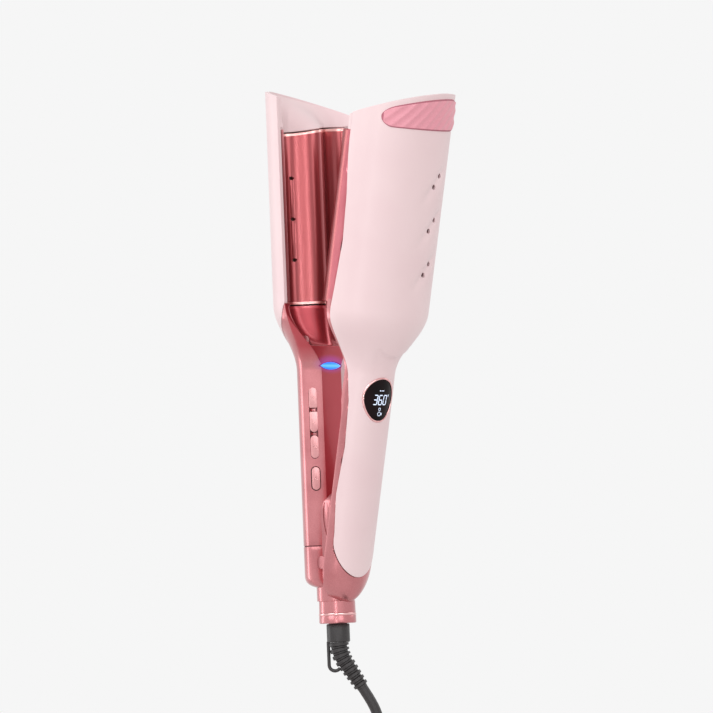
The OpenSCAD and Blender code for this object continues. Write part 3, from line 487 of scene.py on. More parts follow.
def laid_grid(name, columns, rows, point):
    """A grid of columns by rows cells, each point laid at point(column, row) in millimetres."""
    bpy.ops.mesh.primitive_grid_add(x_subdivisions=columns, y_subdivisions=rows, size=2)
    o = named(active(), name)
    for v in o.data.vertices:
        i, k = round((v.co.x + 1) / 2 * columns), round((v.co.y + 1) / 2 * rows)
        v.co = Vector(point(i, k)) * MM
    return o


def closed_form(name, columns, rows, point):
    """A laid grid with its seam merged and its open ends filled."""
    return edit(laid_grid(name, columns, rows, point), merge, close_holes, face_out)


def turn_sheet(o, way):
    """Turns a sheet's faces so that most of them look along Y in the direction way, 1 or -1."""
    if sum(p.normal.y for p in o.data.polygons) * way < 0:
        edit(o, bpy.ops.mesh.flip_normals)
    return o


def modify(o, kind, **settings):
    """Adds a modifier and applies it."""
    only(o)
    m = o.modifiers.new(kind.lower(), kind)
    for key, value in settings.items():
        setattr(m, key, value)
    bpy.ops.object.modifier_apply(modifier=m.name)
    return o


def thicken(o, mm):
    """Gives a sheet a thickness, on the side that it doesn't look at."""
    return modify(o, "SOLIDIFY", thickness=mm * MM, offset=-1, use_quality_normals=True)


def round_edges(o, mm, segments=2, angle=30):
    return modify(o, "BEVEL", width=mm * MM, segments=segments, limit_method="ANGLE",
                  angle_limit=math.radians(angle), use_clamp_overlap=True)


def smooth_shade(o, angle=35):
    only(o)
    bpy.ops.object.shade_smooth_by_angle(angle=math.radians(angle))
    return o


def cut(o, *cutters):
    """Cuts other meshes out of a piece and deletes them."""
    tool = join(cutters)
    modify(o, "BOOLEAN", operation="DIFFERENCE", solver="EXACT", object=tool)
    bpy.data.objects.remove(tool)
    return o


def apply_transform():
    bpy.ops.object.transform_apply(location=True, rotation=True, scale=True)


def place(o, matrix):
    """Moves a mesh and leaves its object at the origin."""
    only(o)
    o.matrix_world = matrix @ o.matrix_world
    apply_transform()
    return o


def finish_piece(o, material, body, *nodes, slot=None, extra=()):
    """Gives a piece its finish, the body it rides on and the CAD nodes it stands for."""
    o.data.materials.clear()
    for m in (material,) + tuple(extra):
        o.data.materials.append(m)
    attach(o, body)
    if nodes:
        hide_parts(*nodes)
    return o


def bar(d, a, b, sides=32):
    """A round bar of diameter d from point a to point b, in millimetres."""
    a, b = Vector(a), Vector(b)
    bpy.ops.mesh.primitive_cylinder_add(vertices=sides, radius=d / 2 * MM, depth=(b - a).length * MM,
                                        location=(a + b) / 2 * MM,
                                        rotation=(b - a).to_track_quat("Z", "Y").to_euler())
    return place(active(), Matrix.Identity(4))


def lathe(name, profile, y, sides=96):
    """A turned piece: radius and height pairs spun round an upright axis at depth y."""
    def point(i, k):
        r, z = profile[k]
        a = 2 * math.pi * i / sides
        return r * math.cos(a), y + r * math.sin(a), z
    return closed_form(name, sides, len(profile) - 1, point)


# %% [markdown]
# ## The cord
# The cord leaves the swivel through a ribbed strain relief that leans out at 32 degrees, then
# hangs straight down. What isn't in use is wound into a tied hank with the plug below it.
# The route is worked out first: one list of points, in the plane of the lean.

# %% Cord plane and route
COLLAR_TOP, COLLAR_Y, STUB_LOW = -12.0, 3.3, -36.0
LEAN_TURN, LEAN, BEND_R = math.radians(-42), math.radians(32), 21.5
RELIEF_L, RELIEF_RINGS, CORD_D = 30.0, 9, 6.0
HANK_U, HANK_TOP, HANK_L, HANK_W, HANK_LAYERS = 24.0, -104.0, 120.0, 42.0, 7
HANK_LOW, FOLD_R = HANK_TOP - HANK_L, (HANK_W - CORD_D) / 2
TAIL_V = -CORD_D * (HANK_LAYERS - 1)
PLUG_TOP = HANK_LOW - 14.0


def cord_place(u, v, z):
    """A point of the cord's plane: u along the lean, v across it."""
    c, s = math.cos(LEAN_TURN), math.sin(LEAN_TURN)
    return Vector((u * c - v * s, COLLAR_Y + u * s + v * c, z)) * MM


CORD_FRAME = (Matrix.Translation((0, COLLAR_Y * MM, 0)) @ Matrix.Rotation(LEAN_TURN, 4, "Z"))


def relief_at(s):
    """Sideways place, height and lean of the strain relief at length s."""
    turn = min(LEAN, s / BEND_R)
    more = max(0.0, s - BEND_R * LEAN)
    return (BEND_R * (1 - math.cos(turn)) + more * math.sin(LEAN),
            STUB_LOW - BEND_R * math.sin(turn) - more * math.cos(LEAN), turn)


def hank_route():
    """Points (u, v, z) from the relief's end through the hank to the plug."""
    u0, z0, _ = relief_at(RELIEF_L)
    route = [(u0, 0, z0), (u0 + 3.5, 0, z0 - 5.8), (19.3, 0, -74), (21.2, 0, -80), (22.6, 0, -87),
             (23.5, 0, -95), (24.2, 0, HANK_TOP)]
    low, high = HANK_LOW + HANK_W / 2, HANK_TOP - HANK_W / 2
    straight, half_turn = high - low, math.pi * FOLD_R
    turn_l = 2 * (half_turn + straight)

    # one turn, as sideways place, height and length so far: round below, up, round above, down
    round_low = [(HANK_U + FOLD_R * math.cos(a), low - FOLD_R * math.sin(a), FOLD_R * a)
                 for a in spread(0, math.pi, 14)]
    up = [(HANK_U - FOLD_R, low + straight * t, half_turn + straight * t) for t in spread(0, 1, 7)]
    round_high = [(HANK_U - FOLD_R * math.cos(a), high + FOLD_R * math.sin(a), turn_l / 2 + FOLD_R * a)
                  for a in spread(0, math.pi, 14)]
    down = [(HANK_U + FOLD_R, high - straight * t, turn_l / 2 + half_turn + straight * t)
            for t in spread(0, 1, 7)]
    turn = round_low[1:] + up[1:] + round_high[1:]

    route += [(HANK_U + FOLD_R * smooth(t), 0, HANK_TOP + (low - HANK_TOP) * t)
              for t in spread(0, 1, 12)[1:]]
    turns = HANK_LAYERS - 1
    for n in range(turns):
        part = turn + (down[1:] if n < turns - 1 else [])
        route += [(u, -CORD_D * (n + s / turn_l), z) for u, z, s in part]
    v_end = route[-1][1]
    route += [(HANK_U + FOLD_R * (1 - smooth(t)), v_end + (TAIL_V - v_end) * t, high + (HANK_LOW - high) * t)
              for t in spread(0, 1, 12)[1:]]
    return route + [(HANK_U, TAIL_V, HANK_LOW - 5), (HANK_U, TAIL_V, PLUG_TOP - 1)]


def length_of(points):
    return sum((Vector(b) - Vector(a)).length for a, b in zip(points, points[1:]))


route = hank_route()
print("cord", len(route), "points,", round(length_of(route)), "mm")

# %% Sweeping a round section
def sweep(name, path, radii, sides=32):
    """A round tube along a path in the cord's plane; path holds (u, z, heading angle)."""
    def point(i, k):
        u, z, turn = path[k]
        a = 2 * math.pi * i / sides
        out, across = radii[k] * math.cos(a), radii[k] * math.sin(a)
        return cord_place(u + out * math.cos(turn), across, z + out * math.sin(turn)) / MM
    return closed_form(name, sides, len(path) - 1, point)


# %% Strain relief
RELIEF_WIDE, RELIEF_TAPER, RING_DEPTH, RING_SHARE = 11.6, 3.4, 1.15, 0.68


def relief_radius(s):
    """Radius of the strain relief at length s: full on a ring, less in the gap after it."""
    at = s / RELIEF_L * RELIEF_RINGS
    ring = min(RELIEF_RINGS - 1, int(at))
    on_ring = smooth((at - ring) / 0.1) * smooth((RING_SHARE - at + ring) / 0.1)
    return (RELIEF_WIDE - ring * RELIEF_TAPER / RELIEF_RINGS) / 2 - RING_DEPTH * (1 - on_ring)


relief_s = spread(0.05, RELIEF_L, RELIEF_RINGS * 16)
relief_path = [relief_at(s) for s in relief_s]
strain = sweep("strain_relief_body", relief_path, [relief_radius(s) for s in relief_s], 48)
finish_piece(smooth_shade(strain, 50), black_pvc, "cord", "strain_relief", slot="black_rubber")

# %% Hanging loop
LOOP_U, LOOP_DROP, LOOP_R = -6.0, 13.0, 3.4
loop_path = [(LOOP_U, STUB_LOW + 0.5 - (LOOP_DROP + 0.5) * t, 0.0) for t in spread(0, 1, 8)]
loop_path += [(LOOP_U + LOOP_R * (1 - math.cos(a)), STUB_LOW - LOOP_DROP - LOOP_R * math.sin(a), a)
              for a in spread(0, 2.6, 20)][1:]
hanger = sweep("hanging_loop_wire", loop_path, [1.0] * len(loop_path), 24)
finish_piece(smooth_shade(hanger, 50), black_pvc, "cord", "hanging_loop", slot="black_rubber")

# %% Cord
bpy.ops.curve.primitive_nurbs_path_add()
cord = named(active(), "mains_cord")
cord.location = (0, 0, 0)
cord.rotation_euler = (0, 0, 0)
curve = cord.data
curve.splines.remove(curve.splines[0])
spline = curve.splines.new("NURBS")
spline.points.add(len(route) - 1)
for p, place_at in zip(spline.points, route):
    p.co = (*cord_place(*place_at), 1.0)
spline.order_u, spline.use_endpoint_u, spline.resolution_u = 4, True, 3
curve.dimensions, curve.resolution_u, curve.render_resolution_u = "3D", 3, 3
curve.bevel_depth, curve.bevel_resolution, curve.use_fill_caps = CORD_D / 2 * MM, 4, True

# %% Plug and tie
PLUG_W, PLUG_T, PLUG_L, PLUG_NECK, PLUG_SIDES = 26.0, 17.0, 28.0, 8.0, 48
PLUG_ROWS = [(0, 0.9), (0.6, 0.97), (2, 1), (10, 1), (16, 0.96), (PLUG_L - PLUG_NECK, 0.8),
             (PLUG_L - 6, 0.52), (PLUG_L - 4, 0.42), (PLUG_L, 0.36)]
BLADE_T, BLADE_W, BLADE_L, BLADE_X = 1.5, 6.3, 17.5, 6.35
TIE_T, TIE_H = 1.2, 10.0


def plug_point(i, k):
    """The plug's section is a rounded oblong at the blades and becomes round at the neck."""
    z, share = PLUG_ROWS[k]
    a = 2 * math.pi * i / PLUG_SIDES
    c, s = math.cos(a), math.sin(a)
    neck = smooth((z - 12) / 12)
    power = 0.55 + 0.45 * neck
    w = PLUG_W / 2 * share * (1 - neck) + PLUG_T / 2 * share * neck
    x = math.copysign(abs(c) ** power, c) * w
    y = math.copysign(abs(s) ** power, s) * PLUG_T / 2 * share
    return cord_place(HANK_U + x, TAIL_V + y, PLUG_TOP - PLUG_L + z) / MM


def block(name, size, middle):
    """A block of a size round a middle, in the cord's plane."""
    bpy.ops.mesh.primitive_cube_add(size=1)
    o = named(active(), name)
    o.scale = Vector(size) * MM
    o.location = Vector(middle) * MM
    apply_transform()
    return place(o, CORD_FRAME)


plug = closed_form("plug_shell", PLUG_SIDES, len(PLUG_ROWS) - 1, plug_point)
round_edges(plug, 0.5, 2, 60)
finish_piece(smooth_shade(plug, 45), black_pvc, "cord", "plug_body", slot="black_rubber")

blade_z = PLUG_TOP - PLUG_L - BLADE_L / 2
blades = [block("plug_blade", (BLADE_T, BLADE_W, BLADE_L), (HANK_U + s * BLADE_X, TAIL_V, blade_z))
          for s in SIDES]
for o in blades:
    round_edges(o, 0.35, 2, 60)
blade_pair = named(join(blades), "plug_blade_pair")
finish_piece(smooth_shade(blade_pair, 40), brass, "cord", "plug_blades", slot="brass")

hank_size = Vector((HANK_W, CORD_D * HANK_LAYERS, 0))
hank_middle = (HANK_U, TAIL_V / 2, (HANK_TOP + HANK_LOW) / 2)
tie = block("hank_tie", hank_size + Vector((2 * TIE_T, 2 * TIE_T, TIE_H)), hank_middle)
round_edges(tie, 4, 6, 60)
cut(tie, block("tie_hole", hank_size + Vector((0, 0, TIE_H * 2)), hank_middle))
round_edges(tie, 0.3, 2, 60)
finish_piece(smooth_shade(tie, 40), black_tie, "cord", "cord_tie", slot="tie_black")

finish_piece(cord, black_pvc, "cord", "cord_lead", "cord_hank", "cord_tail", slot="black_rubber")

# %% [markdown]
# ## The pale casings
# A casing is an injection-moulded shell about 2 mm thick. Its outside runs from the rim, up a
# short straight side and round an arc. Both casings have three soft grooves that lead to the
# vents. The front one also has a shallow step under the head, where the grip begins.

# %% Casing surface
CREASE_X, CREASE_Z, CREASE_D, CREASE_BOW = -5.7, 133.3, 1.3, 0.024
CREASE_HALF, CREASE_FADE = 17, 7
VENT_X, VENT_Z, VENT_PITCH, VENT_D = 13.0, 208.0, 25.4, 3.0
VENT_STEP = 5.0, 6.4  # from the first vent of a pair to the second
GROOVE_D, GROOVE_W, GROOVE_X, GROOVE_DROP = 1.5, 3.0, -1.0, 12.0
GROOVE_RUN = -21.0, 22.5
PANEL_FOOT, PANEL_ARC = 5.0, 21.0
COLUMNS, ROWS = 112, 250
HANDLE_AT, JAW_AT = 20.0, 250.0  # heights where the handle and the jaw have their plain section
# The edges of the casings: in front the edge's depth at each height, behind its height at each depth
EDGE_FRONT = [(-40, 10.5), (30, 10.3), (52, 8.6), (80, 10.3), (107, 9.3), (121, 7.0), (134, 3.6), (152, 3.2),
              (171, 5.2), (198, 7.4), (225, 6.0), (246, 3.4), (256, 2.8), (400, 2.8)]
EDGE_REAR = [(0.3, 161), (5, 153), (12, 146), (19, 139), (28, 133)]


def between(table, v):
    """Straight line between the points of a short table."""
    for (a, p), (b, q) in zip(table, table[1:]):
        if v <= b:
            return p + (q - p) * max(0.0, (v - a) / (b - a))
    return table[-1][1]


def groove(x, z):
    """Depth of the three soft grooves that run up to the vents."""
    dx, dz = GROOVE_RUN
    long = math.hypot(dx, dz)
    total = 0.0
    for i in (-1, 0, 1):
        x0, z0 = GROOVE_X, VENT_Z + i * VENT_PITCH - GROOVE_DROP
        along = ((x - x0) * dx + (z - z0) * dz) / long
        aside = ((z - z0) * dx - (x - x0) * dz) / long
        # it fades in over 16 mm at its lower end and out over 10 mm at its upper end
        fade = smooth((along + 2) / 16) * smooth((long + 6 - along) / 10)
        total += GROOVE_D * fade * math.exp(-(aside / GROOVE_W) ** 2)
    return total


def crease(x, z):
    """Depth of the step under the head, which fades out down the handle and to both sides."""
    below = CREASE_Z + CREASE_BOW * (x - CREASE_X) ** 2 - z
    aside = smooth((CREASE_HALF - abs(x - CREASE_X)) / CREASE_FADE)
    return CREASE_D * aside * smooth(below / 1.4 + 0.5) * math.exp(-max(0.0, below) / CREASE_FADE)


def outside(arm, q, z, edge_y, off=0.0):
    """Point of the outside at height z; q runs from -1 at one edge to 1 at the other."""
    half, depth, _, _, foot = section(arm, z, off)
    arc = 1.5 * (half + depth - foot) / 2  # about the length of a quarter of the ellipse
    low = max(0.0, foot - edge_y)
    top = math.pi / 2 if edge_y <= foot else math.acos(min(1.0, (edge_y - foot) / (depth - foot)))
    on_arc = arc * top * 2 / math.pi
    run = abs(q) * (on_arc + low)
    sign = math.copysign(1, q)
    if run <= on_arc:
        a = run / arc * math.pi / 2
        return sign * half * math.sin(a), foot + (depth - foot) * math.cos(a)
    return sign * half, foot - (run - on_arc)


def inset(arm, x, y, z, by):
    """Moves an outside point in by a distance, roughly along its normal."""
    half, depth, _, _, foot = section(arm, z)
    n = Vector((x / half ** 2, max(0.0, y - foot) / (depth - foot) ** 2 + 1e-9)).normalized()
    return x - n.x * by, y - n.y * by


PANEL_HALF = outside(FRONT, 1.0, HANDLE_AT, between(EDGE_FRONT, HANDLE_AT))[0]


def panel_low(x):
    """Lower edge of the pale panel of the front handle, half an ellipse."""
    return PANEL_FOOT + PANEL_ARC * (1 - math.sqrt(max(0.0, 1 - (x / PANEL_HALF) ** 2)))


def front_casing_point(i, k):
    q = 2 * i / COLUMNS - 1
    x, _ = outside(FRONT, q, HANDLE_AT, between(EDGE_FRONT, HANDLE_AT))
    low = panel_low(x)
    x, y = outside(FRONT, q, JAW_AT, between(EDGE_FRONT, JAW_AT))
    high = tip_height(x, y)
    z = low + (high - low) * k / ROWS
    x, y = outside(FRONT, q, z, between(EDGE_FRONT, z))
    x, y = inset(FRONT, x, y, z, groove(x, z) + crease(x, z))
    return x, y, z


def rear_casing_point(i, k):
    q = 2 * i / COLUMNS - 1
    x, y = outside(REAR, q, JAW_AT, CLOSING_GAP)
    high = tip_height(x, y)
    low = 150.0  # a first guess: the edge's height depends on the depth at that height
    for _ in range(8):
        low = between(EDGE_REAR, outside(REAR, q, low, CLOSING_GAP)[1])
    z = low + (high - low) * k / ROWS
    x, y = outside(REAR, q, z, CLOSING_GAP)
    if z > NECK_TOP:
        x, y = inset(REAR, x, y, z, groove(x, z))
    return x, y, z


def vent_holes():
    """Three pairs of bars along Y, for cutting."""
    holes = []
    for i in (-1, 0, 1):
        for k in (0, 1):
            x, z = -VENT_X - VENT_STEP[0] * k, VENT_Z + VENT_STEP[1] * k + i * VENT_PITCH
            holes.append(bar(VENT_D, (x, 10, z), (x, 36, z)))
    return holes


# %% Rear casing
rear_casing = laid_grid("rear_casing", COLUMNS, ROWS, rear_casing_point)
edit(rear_casing, face_out)
thicken(rear_casing, SHELL_T)
cut(rear_casing, *vent_holes())
round_edges(rear_casing, 0.5, 3, 50)
finish_piece(smooth_shade(rear_casing), pearl, "rear_arm", "rear_shell", slot="pale_shell")
print("rear casing", len(rear_casing.data.polygons), "faces")

# %% [markdown]
# ## The display opening
# The window is egg-shaped, wider above, and follows the curve of the handle. The same outline
# cuts the casing and makes the rim and the lens, so they fit each other.

# %% Display outline
DISPLAY_Z, DISPLAY_W, DISPLAY_H, BEZEL_W = 107.5, 21.0, 22.0, 1.0
EGG_MIDDLE, EGG_PINCH = 2.5, 0.13


def egg(a, grow=0.0):
    """Point of the window's outline at angle a, seen from outside, x to the viewer's right."""
    c, s = math.cos(a), math.sin(a)
    wide = DISPLAY_W / 2 + grow
    if s >= 0:
        return wide * c, EGG_MIDDLE + wide * s
    tall = DISPLAY_H / 2 + EGG_MIDDLE + grow
    narrow = 1 - EGG_PINCH * s ** 2 * abs(c)
    return wide * c * narrow, EGG_MIDDLE + tall * s


def handle_surface(x, z, off=0.0):
    """Depth of the front handle's outside at x and z."""
    half, depth, _, _, foot = section(FRONT, z, off)
    return foot + (depth - foot) * math.sqrt(max(0.0, 1 - (x / half) ** 2))


def egg_plug(grow, y0, y1, n=64):
    """A bar along Y with the window's outline, for cutting."""
    def point(i, k):
        x, z = egg(2 * math.pi * i / n, grow)
        return -x, (y0, y1)[k], DISPLAY_Z + z
    return closed_form("egg_plug", n, 1, point)


# %% Front casing
front_casing = laid_grid("front_casing", COLUMNS, ROWS, front_casing_point)
edit(front_casing, face_out)
thicken(front_casing, SHELL_T)
cut(front_casing, egg_plug(BEZEL_W, 8, 24), *vent_holes())
round_edges(front_casing, 0.4, 3, 50)
place(front_casing, TO_FRONT)
finish_piece(smooth_shade(front_casing), pearl, "front_arm", "front_shell", slot="pale_shell")
print("front casing", len(front_casing.data.polygons), "faces")

# %% [markdown]
# ## The rose bodies
# Inside each casing lies the rose body, which shows along the inner face, at the handle's
# sides and at the lower end. Its section is a closed loop: flat inner face, sloping facet,
# straight side and arc. Below the rear plate two scoops are sunk into its face.

# %% Rose body surface
SCOOP_L = 25.0
BULGE_L, BULGE_PLAY = 17.0, 3.4  # the bulge ends sooner and lies lower than the scoops it closes on
FACE_WAVE, FACE_RIM, FACET_N, SIDE_N, ARC_N = 60, 3, 5, 4, 72
UNDER = 2.2  # how far a body draws in below the casing
HANDLE_LIFT = 4.8  # how far the front handle's inner face stays off the closing plane
LIFT_TOP, LIFT_RUN = 122.0, 26.0


def inner_face(arm, z):
    """Depth of the flat inner face of an arm at height z."""
    return CLOSING_GAP + (HANDLE_LIFT * smooth((LIFT_TOP - z) / LIFT_RUN) if arm is FRONT else 0.0)


def fade_below(z, length):
    """1 at the plate's lower edge, 0 at a length below it, on a quarter of an ellipse."""
    t = (PLATE_LOW - z) / length
    return math.sqrt(max(0.0, 1 - max(0.0, t) ** 2))


def scoop(x, z, wave_scale):
    """Depth of the scoops that carry the rear wave on below the plate."""
    return wave(x / wave_scale) * fade_below(z, SCOOP_L)


def front_bulge(x, z, wave_scale):
    """Depth, towards the hair, of the bulge that carries the front wave on below the plate."""
    return -max(0.0, wave(x / wave_scale) - BULGE_PLAY) * fade_below(z, BULGE_L)


def plain(x, z, wave_scale):
    return 0.0


def under_front_casing(x, y, z):
    """1 where the front casing covers the body, 0 where the body shows."""
    return smooth((y - between(EDGE_FRONT, z) + 0.5) / 1.2) * smooth((z - panel_low(x) + 0.5) / 1.2)


def under_rear_casing(x, y, z):
    return smooth((z - between(EDGE_REAR, y) - 0.4) / 1.5)


def body_ring(arm, z, off, shape, covered):
    """The closed section of a rose body at height z, always with the same number of points."""
    half, depth, cut_x, cut_y, foot = section(arm, z, off)
    face = max(0.005, half - cut_x)
    scale = min(face / PLATE_HALF * 0.999, (half + off - JAW_HALF + PLATE_HALF) / PLATE_HALF)
    inner = PLATE_HALF * max(scale, 0.001)
    flat = inner_face(arm, z)

    def drawn_in(points):
        moved = (inset(arm, x, y, z, UNDER * covered(x, y, z)) for x, y in points)
        return [(x, max(y, flat)) for x, y in moved]

    middle = [(x * scale, flat + shape(x * scale, z, scale)) for x in wave_places(FACE_WAVE)]
    right = [(inner + (face - inner) * t, flat) for t in spread(0, 1, FACE_RIM)[1:]]
    right += [(face + cut_x * t, flat + max(0.0, cut_y - flat) * t) for t in spread(0, 1, FACET_N)[1:]]
    right += [(half, cut_y + (foot - cut_y) * t) for t in spread(0, 1, SIDE_N)[1:]]
    arc = [(half * math.cos(a), foot + (depth - foot) * math.sin(a))
           for a in spread(0, math.pi, ARC_N)[1:-1]]
    right = drawn_in(right)
    left = [(-x, y) for x, y in reversed(right)]
    return middle + right + drawn_in(arc) + left + middle[:1]


def body_skin(name, arm, rows, off, covered, shape=plain):
    rings = [body_ring(arm, z, off, shape, covered) for z in rows]
    return closed_form(name, len(rings[0]) - 1, len(rows) - 1, lambda i, k: (*rings[k][i], rows[k]))


def end_rows(low, top, n=16):
    """Heights close together where the end rounds in."""
    return [-low + (top + low) * (1 - math.cos(t)) for t in spread(0, math.pi / 2, n)]


# %% [markdown]
# The buttons sit on the sloping facet of the rear handle, in a recess shaped like a
# racetrack. Everything there is made flat and then stood on the facet.

# %% Facet frame
CAP_TOP, CAP_SEAM = 20.0, 0.35
FACET_TURN = -math.atan2(REAR.cut_y, REAR.cut_x)
RECESS_W, RECESS_LOW, RECESS_L, RECESS_D = 6.8, 69.5, 43.0, 1.3
RECESS_Z = RECESS_LOW + RECESS_L / 2
BUTTON_W, BUTTON_GAP, WELL_D, POWER_WELL_D = 4.7, 0.5, 2.4, 2.8
BUTTON_TOP, BUTTON_BOTTOM = 0.5, -1.5
ROCKER_L, MODE_L, POWER_L = 11.8, 13.2, 13.2
MODE_Z = RECESS_LOW + 1.3 + MODE_L / 2
MINUS_Z = MODE_Z + MODE_L / 2 + 1.9 + ROCKER_L / 2
PLUS_Z = MINUS_Z + ROCKER_L + 2.3
POWER_Z = 59.0
SCREW_X, SCREW_Z, COVER_D, COVER_Y = 12.5, 139.5, 5.6, 8.3


def facet_frame(z):
    """Local Z points out of the facet and local Y up."""
    return (Matrix.Translation(Vector((REAR.cut_x / 2 - HANDLE_HALF, REAR.cut_y / 2, z)) * MM)
            @ Matrix.Rotation(FACET_TURN, 4, "Z") @ Matrix.Rotation(math.pi / 2, 4, "X"))


def pill(name, w, l, z0, z1, round_low=True, round_high=True):
    """A slab from height z0 to z1, lying along local Y; an end that isn't round is nearly square."""
    bpy.ops.mesh.primitive_cube_add(size=1, location=(0, 0, (z0 + z1) / 2 * MM))
    o = named(active(), name)
    o.scale = (w * MM, l * MM, (z1 - z0) * MM)
    apply_transform()
    for high, fully in ((True, round_high), (False, round_low)):
        bpy.ops.object.mode_set(mode="OBJECT")
        limit = (l / 2 - 0.01) * MM
        for e in o.data.edges:
            a, b = (o.data.vertices[i].co for i in e.vertices)
            upright = abs(a.x - b.x) + abs(a.y - b.y) < 1e-7
            e.select = upright and (a.y > limit if high else a.y < -limit)
        for p in o.data.polygons:
            p.select = False
        bpy.ops.object.mode_set(mode="EDIT")
        bpy.ops.mesh.select_mode(type="EDGE")
        radius = w / 2 * 0.999 if fully else w * 0.16  # just short of meeting, or a small corner
        bpy.ops.mesh.bevel(offset=radius * MM, segments=10, affect="EDGES")
        bpy.ops.object.mode_set(mode="OBJECT")
    return o


def facet_well(w, l, z, z0, z1):
    """A cutter with round ends, from height z0 to z1 over the facet."""
    return place(pill("well", w, l, z0, z1), facet_frame(z))


def almond_bar(name, w, h, y0, y1, z, n=48):
    """A bar along Y with a pointed oval section."""
    r = (w * w / 4 + h * h / 4) / h

    def point(i, k):
        t = 2 * i / n
        s = 1 if t <= 1 else -1
        x = w / 2 * math.cos(math.pi * (t if t <= 1 else 2 - t))
        return x, (y0, y1)[k], z + s * (math.sqrt(max(0.0, r * r - x * x)) - r + h / 2)
    return closed_form(name, n, 1, point)


def soften(o, where, times):
    """Rounds off the points that where() picks, in millimetres."""
    only(o)
    for v in o.data.vertices:
        v.select = where(v.co / MM)
    for e in o.data.edges:
        e.select = all(o.data.vertices[i].select for i in e.vertices)
    for p in o.data.polygons:
        p.select = all(o.data.vertices[i].select for i in p.vertices)
    bpy.ops.object.mode_set(mode="EDIT")
    bpy.ops.mesh.vertices_smooth(factor=0.5, repeat=times)
    bpy.ops.object.mode_set(mode="OBJECT")


# %% Rear body
def by_the_scoops(p):
    """True for the points round the scoops, short of the arm's sides and back."""
    return 128 < p.z < 159 and p.y < 17 and abs(p.x) < 31


rear_rows = ([CAP_TOP + CAP_SEAM] + spread(24, 118, 24) + spread(120, 134.5, 18)
             + spread(135, 137.6, 16) + spread(138, PLATE_LOW - 1.0, 40))
rear_body = body_skin("rear_body", REAR, rear_rows, SKIN_DROP, under_rear_casing, scoop)
round_edges(rear_body, 1.5, 4, 24)
soften(rear_body, by_the_scoops, 24)
well_w = BUTTON_W + 2 * BUTTON_GAP
recess = facet_well(RECESS_W, RECESS_L, RECESS_Z, -RECESS_D - 0.01, 3)
power_well = facet_well(well_w, POWER_L + 2 * BUTTON_GAP, POWER_Z, -POWER_WELL_D, 3)
wells = [facet_well(well_w, l + 2 * BUTTON_GAP, z, -WELL_D, -0.5)
         for z, l in ((PLUS_Z, ROCKER_L), (MINUS_Z, ROCKER_L), (MODE_Z, MODE_L))]
cover_seats = [bar(COVER_D + 0.3, (s * SCREW_X, -3, SCREW_Z), (s * SCREW_X, COVER_Y + 1.2, SCREW_Z))
               for s in SIDES]
light_slot = almond_bar("light_slot", LIGHT_W + 3.5, LIGHT_H - 0.2, -1, 1.1, LIGHT_Z)
cut(rear_body, recess, power_well, light_slot, *cover_seats)
cut(rear_body, *wells)
round_edges(rear_body, 0.3, 2, 32)
finish_piece(smooth_shade(rear_body, 30), rose_painted_glow_and_shade, "rear_arm", "rear_frame", "rear_grip", "button_bezel",
             slot="rose_frame", extra=(painted_shadow,))


def in_shadow(p):
    """True for the walls and floors of the button wells and the walls of the recess, which get the painted
    shadow.
    """
    for z, wide, tall in ((RECESS_Z, RECESS_W, RECESS_L), (POWER_Z, BUTTON_W + 1, POWER_L + 1)):
        to_facet = facet_frame(z).inverted()
        at, n = to_facet @ p.center / MM, to_facet.to_3x3() @ p.normal
        if -4 < at.z < -0.05 and abs(at.x) < wide / 2 + 0.1 and abs(at.y) < tall / 2 + 0.1:
            return abs(n.z) < 0.9 or at.z < -1.5
    return False


# painted shadow: the faces picked above take the dark second material
for p in rear_body.data.polygons:
    p.material_index = int(in_shadow(p))

# %% Rear end cap
KNUCKLE_D, KNUCKLE_IN, KNUCKLE_OUT, KNUCKLE_PLAY = 7.4, 11.6, 13.6, 0.3


def hinge_bars(d, near, far):
    """A bar on the hinge's axis on each side."""
    return [bar(d, (s * near, 0, HINGE_Z), (s * far, 0, HINGE_Z)) for s in SIDES]


cap = body_skin("rear_end_cap", REAR, end_rows(REAR.low, CAP_TOP - CAP_SEAM), SKIN_DROP, under_rear_casing)
cut(cap, *hinge_bars(KNUCKLE_D + 2 * KNUCKLE_PLAY, 8, KNUCKLE_OUT + KNUCKLE_PLAY))
round_edges(cap, 0.3, 2, 32)
# A dark strip just inside the seam between cap and body: painted shadow in the gap.
shadow_strip_from = len(cap.data.polygons)
shadow_strip = body_skin("end_cap_shadow_strip", REAR, [CAP_TOP - 3, CAP_TOP + 3], SKIN_DROP + 0.5, under_rear_casing)
join([cap, shadow_strip])
finish_piece(smooth_shade(cap, 30), rose_painted_glow_and_shade, "rear_arm", "end_cap", slot="rose_frame", extra=(painted_shadow,))
for p in cap.data.polygons[shadow_strip_from:]:
    p.material_index = 1

# %% Cutting shapes
POST_R, POST_Y, POST_TOP = 10.8, 4.4, 51.5
POST_PLAY, SWING_PLAY, FAR = 0.6, 1.4, 40


def prism(name, outline, at, ends):
    """A closed bar: an outline of 2-D points, each put in place by at(point, end)."""
    n = len(outline)
    return closed_form(name, n, 1, lambda i, k: at(outline[i % n], ends[k]))


def post_room():
    """What the front arm leaves free round the hinge post over its whole swing."""
    deep = POST_R - POST_Y + SWING_PLAY
    lean = math.tan(math.radians(OPEN_ANGLE))
    outline = [(-FAR, -FAR), (deep + (HINGE_Z + FAR) * lean, -FAR), (deep, HINGE_Z),
               (deep, POST_TOP + POST_PLAY), (-FAR, POST_TOP + POST_PLAY)]
    return prism("post_room", outline, lambda p, x: (x, *p), (-POST_R - POST_PLAY, POST_R + POST_PLAY))


